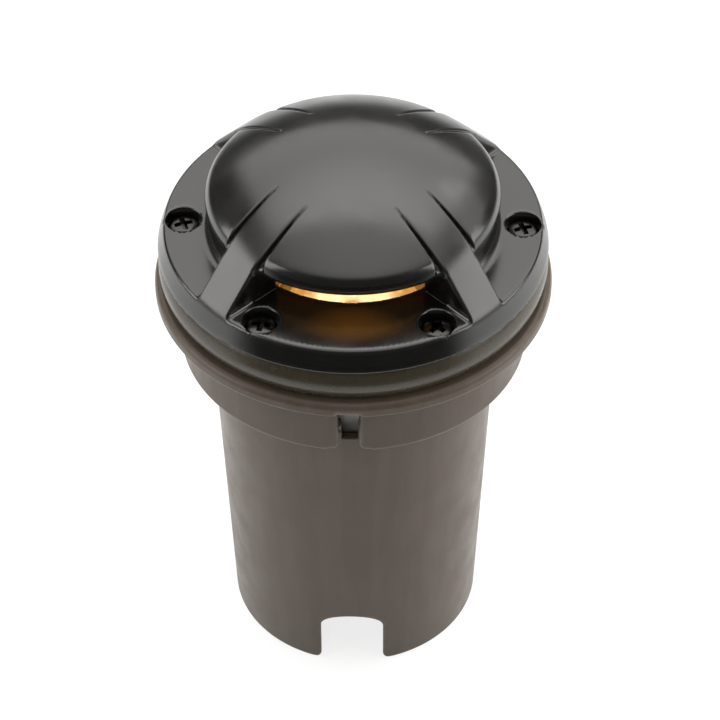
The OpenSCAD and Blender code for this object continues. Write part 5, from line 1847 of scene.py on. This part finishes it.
@dataclass
class SocketLeads:
    """Two leads from the socket to the terminals, in two lengths.

    Attributes:
        pitch: Distance between the two leads.
        lead_d: Lead's outside.
        bend_r: Radius of their bends.
        top: Place across and up of their ends in the socket.
        foot: Place across and up of their ends in the terminals.
        sides: Sides of a lead.
        steps: Points along a bend, along the run across and along the drop.
        bend_z: Height above which the lower length would follow the yoke; not used.
        held_z: Height below which it would stay with the terminals; not used.
    """

    pitch: float = 12.0
    lead_d: float = 1.8
    bend_r: float = 3.0
    top: Point = (4.2, 72.7)
    foot: Point = (20.5, 42.0)
    sides: int = 20
    steps: tuple[int, int, int] = (9, 24, 40)
    bend_z: float = 66.7
    held_z: float = 53.0

    def routes(self) -> tuple[Array, Array]:
        """Middle lines of both lengths, from the socket outwards and from there down to the terminals.

        Returns:
            Points across and up of the upper length and of the lower one.
        """
        (y, z), (end_y, end_z) = self.top, self.foot
        bend, across, down = self.steps
        turn = np.linspace(0, math.pi / 2, bend)
        r = self.bend_r
        inner = np.stack([y + r - r * np.cos(turn), z - r * np.sin(turn)], 1)
        run = np.linspace(y + r, end_y - r, across)[1:]
        upper = np.concatenate([inner, np.stack([run, np.full_like(run, z - r)], 1)])
        outer = np.stack([end_y - r + r * np.sin(turn), z - 2 * r + r * np.cos(turn)], 1)
        drop = np.linspace(z - 2 * r, end_z, down)[1:]
        lower = np.concatenate([outer, np.stack([np.full_like(drop, end_y), drop], 1)])
        return upper, lower

    def tubes(self, name: str, route: Array) -> Object:
        """Makes the two leads along one route, as one piece.

        Args:
            name: The piece's name.
            route: Points across and up.

        Returns:
            The piece.
        """
        along = np.gradient(route, axis=0)
        along /= np.linalg.norm(along, axis=1)[:, None]
        across = np.stack([-along[:, 1], along[:, 0]], 1)
        spin = np.linspace(0, 2 * math.pi, self.sides, endpoint=False)
        r = self.lead_d / 2
        places, faces = [], []
        for middle in (-self.pitch / 2, self.pitch / 2):
            base = len(places)
            for place, side in zip(route, across):
                rings = place + r * np.sin(spin)[:, None] * side
                places += [(middle + r * math.cos(a), y, z) for a, (y, z) in zip(spin, rings)]
            for row in range(base, base + (len(route) - 1) * self.sides, self.sides):
                for step in range(self.sides):
                    a, b = row + step, row + (step + 1) % self.sides
                    faces.append((a, b, b + self.sides, a + self.sides))
            last = base + (len(route) - 1) * self.sides
            faces.append(tuple(range(base + self.sides - 1, base - 1, -1)))
            faces.append(tuple(range(last, last + self.sides)))
        data = bpy.data.meshes.new(name)
        data.from_pydata([tuple(c * MM for c in place) for place in places], [], faces)
        if volume_of(data) < 0:
            data.flip_normals()
        data.shade_smooth()
        return new_object(name, data)

    def build(self) -> list[Object]:
        """Makes both lengths.

        Returns:
            The upper and the lower length.
        """
        upper, lower = self.routes()
        made = [self.tubes("lead_uppers", upper), self.tubes("lead_lowers", lower)]
        for piece in made:
            piece.data.materials.append(Surface.LEAD_SILICONE.material())
            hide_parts("socket_leads")
        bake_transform(made[0])
        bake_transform(made[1])
        return made


@dataclass
class Dressing:
    """Puts its finish on each CAD node that stays."""

    def build(self) -> None:
        """Replaces each imported material by the finish of the slot that it is named after."""
        for piece in frame["nodes"].values():
            for holder in piece.material_slots:
                if holder.material:
                    holder.material = Surface.of_slot(holder.material.name.split(".")[0]).material()


@dataclass(frozen=True)
class SoftBox:
    """One rectangular light that faces the object.

    Attributes:
        name: Name of the light.
        azimuth: Direction from the object in degrees, 0 in front (-Y) and 90 to the right (+X).
        height: Direction above the horizon, in degrees.
        away: Distance from the object in metres.
        size: Width and height in metres.
        radiance: Brightness of its face, on the scale of glow().
        tone: Colour of the light.
        mirrored: Whether reflections show it.
        aim_z: Height that it faces, in metres.
    """

    name: str
    azimuth: float
    height: float
    away: float
    size: Point
    radiance: float
    tone: Colour = (1.0, 0.98, 0.965)
    mirrored: bool = True
    aim_z: float = 0.12

    def hang(self) -> None:
        """Makes the light."""
        a, e = math.radians(self.azimuth), math.radians(self.height)
        toward = Vector((math.sin(a) * math.cos(e), -math.cos(a) * math.cos(e), math.sin(e)))
        place = (Vector((0, 0, self.aim_z)) + toward * self.away) / MM
        size = (self.size[0] / MM, self.size[1] / MM)
        lamp = glow(self.name, tuple(place), tuple(-toward), size, self.radiance, self.tone,
                    LampShape.RECTANGLE)
        lamp.visible_glossy = self.mirrored


@dataclass
class Studio:
    """Pale floor, soft lights and the photograph's camera.

    Attributes:
        eye: Rows of the camera's placing, with the place in metres.
        lens_mm: Focal length for a 36 mm sensor.
        sky: Strength of the light all round, near the horizon and overhead.
        sweep: Distances in metres between which the floor's mirror image fades to the dark room.
        card: The black card's nearest and farthest distance in front and its height, in metres.
        card_edge: Slopes of its sides between which the card fades out.
        card_turn: Degrees that it reaches to each side.
        card_grey: Its lightness.
        floor_size: Width of the floor in metres.
        floor_grey: The floor's lightness for the light that it throws back.
        floor_glow: Light that it shows of itself, and what reflections show of it far off.
        shadow_grey: Lightness of what it adds for the camera, which the object's shadow takes away.
        sky_tone: Colour of the light all round.
        sky_lean: Weights of up and right in the direction that it depends on.
        sky_span: Values of that direction between which it grows.
        boxes: The soft lights.
    """

    eye: tuple[tuple[float, float, float, float], ...] = (
        (0.9996719, -0.0150740, 0.0207102, 0.0207744),
        (0.0254032, 0.6872348, -0.7259911, -0.6621732),
        (-0.0032892, 0.7262790, 0.6873922, 0.7249740),
        (0.0, 0.0, 0.0, 1.0))
    lens_mm: float = 145.52
    sky: Point = (0.07, 1.25)
    sweep: Point = (0.9, 2.2)
    card: Place = (0.25, 4.0, 0.002)
    card_edge: Point = (1.1, 2.2)
    card_turn: float = 68.0
    card_grey: float = 0.02
    floor_size: float = 60.0
    floor_grey: float = 0.8
    floor_glow: Point = (0.8, 0.1)
    shadow_grey: float = 0.24
    sky_tone: Colour = (1.0, 0.988, 0.955)
    sky_lean: Point = (0.96, 0.06)
    sky_span: Point = (0.55, 0.98)
    boxes: tuple[SoftBox, ...] = (
        SoftBox("top_light", 180.0, 52.0, 0.95, (1.44, 1.19), 1.42, (1.0, 0.988, 0.955)),
        SoftBox("left_light", -80.0, 23.0, 0.9, (0.8, 0.58), 2.8),
        SoftBox("right_light", 82.0, 21.0, 0.9, (0.8, 0.54), 2.8),
        SoftBox("right_panel", 120.0, 37.0, 0.9, (0.5, 0.26), 1.0),
        SoftBox("left_rim", -125.0, 6.0, 0.85, (0.6, 0.5), 6.5, mirrored=False),
        SoftBox("right_rim", 120.0, 6.0, 0.85, (0.7, 0.5), 9.0, mirrored=False),
        SoftBox("front_fill", -12.0, 30.0, 1.2, (0.5, 0.5), 2.2, (1.0, 1.0, 1.0), mirrored=False))

    def camera(self) -> None:
        """Sets the camera at the photograph's viewing angle."""
        data = bpy.data.cameras.new("view")
        data.sensor_width = 36.0
        data.lens = self.lens_mm
        data.clip_start, data.clip_end = 0.05, 50.0
        eye = new_object("view", data)
        eye.matrix_world = Matrix(self.eye)
        bpy.context.scene.camera = eye

    def floor(self) -> None:
        """Lays the pale floor, near white to the camera and in reflections, with the object's shadow."""
        bpy.ops.mesh.primitive_plane_add(size=self.floor_size)
        ground = bpy.context.object
        ground.name = "floor"
        material, tree = blank_material("pale_floor")
        path = tree.node("ShaderNodeLightPath").outputs
        rays = ("Is Camera Ray", "Is Glossy Ray", "Is Transmission Ray")
        camera, mirror, through = (Wire(tree, path[ray]) for ray in rays)
        near, far = self.floor_glow
        fade = tree.length(tree.wire("ShaderNodeTexCoord", out="Object")).ramp(*self.sweep, near, far)
        plain = tree.wire("ShaderNodeBsdfDiffuse", {"Color": (self.floor_grey,) * 3})
        shaded = tree.wire("ShaderNodeBsdfDiffuse", {"Color": (self.shadow_grey,) * 3})
        strength = mirror * (fade - near) + near
        white = tree.wire("ShaderNodeEmission", {"Color": (1.0, 1.0, 1.0), "Strength": strength})
        pale = tree.wire("ShaderNodeAddShader", {0: shaded, 1: white})
        seen = (camera + mirror + through).clamped()
        mixed = tree.wire("ShaderNodeMixShader", {0: seen, 1: plain, 2: pale})
        tree.node("ShaderNodeOutputMaterial", {"Surface": mixed})
        ground.data.materials.append(material)

    def black_card(self) -> None:
        """Lays a black card in front, seen only in reflections, for the dark front that the paint mirrors."""
        near, far, z = self.card
        turns = np.radians(np.linspace(-self.card_turn, self.card_turn, 18))
        rim = [(r * math.sin(a), -r * math.cos(a), z)
               for r, row in ((near, turns), (far, turns[::-1])) for a in row]
        data = bpy.data.meshes.new("black_card")
        data.from_pydata(rim, [], [tuple(range(len(rim)))])
        material, tree = blank_material("black_card")
        x, y, _ = tree.parts(tree.wire("ShaderNodeTexCoord", out="Object"))
        slope = tree.wire("ShaderNodeMath", {0: x / y}, operation="ABSOLUTE")
        black = tree.wire("ShaderNodeBsdfDiffuse", {"Color": (self.card_grey,) * 3})
        clear = tree.wire("ShaderNodeBsdfTransparent", {"Color": (1.0, 1.0, 1.0)})
        mixed = tree.wire("ShaderNodeMixShader", {0: slope.ramp(*self.card_edge), 1: black, 2: clear})
        tree.node("ShaderNodeOutputMaterial", {"Surface": mixed})
        data.materials.append(material)
        card = new_object("black_card", data)
        card.visible_camera = card.visible_diffuse = card.visible_shadow = card.visible_transmission = False

    def world(self) -> None:
        """Light from all round, low near the horizon and strong overhead."""
        world = bpy.data.worlds.new("room")
        bpy.context.scene.world = world
        world.use_nodes = True
        world.node_tree.nodes.clear()
        tree = Tree(world.node_tree)
        across, _, up = tree.parts(tree.wire("ShaderNodeTexCoord", out="Generated"))
        lean_up, lean_right = self.sky_lean
        strength = (up * lean_up + across * lean_right).ramp(*self.sky_span, *self.sky)
        light = tree.wire("ShaderNodeBackground", {"Color": self.sky_tone, "Strength": strength})
        tree.node("ShaderNodeOutputWorld", {"Surface": light})

    def build(self) -> None:
        """Sets up the whole studio and its view settings."""
        bpy.context.scene.view_settings.view_transform = "Standard"
        self.camera()
        self.floor()
        self.black_card()
        self.world()
        for box in self.boxes:
            box.hang()


def main() -> None:
    """Builds the light's pieces in order, then the studio."""
    logging.basicConfig(level=logging.INFO, format="%(name)s: %(message)s")
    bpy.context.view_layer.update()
    Dressing().build()
    LOG.info("finishes on %d CAD nodes", len(frame["nodes"]))
    pieces = [Cover().build(), GroundSleeve().build(), LampHousing().build()]
    pieces += CoverScrews().build()
    pieces.append(LampFace().build())
    pieces += SocketLeads().build()
    LOG.info("%d new pieces", len(pieces))
    Studio().build()
    LOG.info("studio is set")


if __name__ == "__main__":
    main()
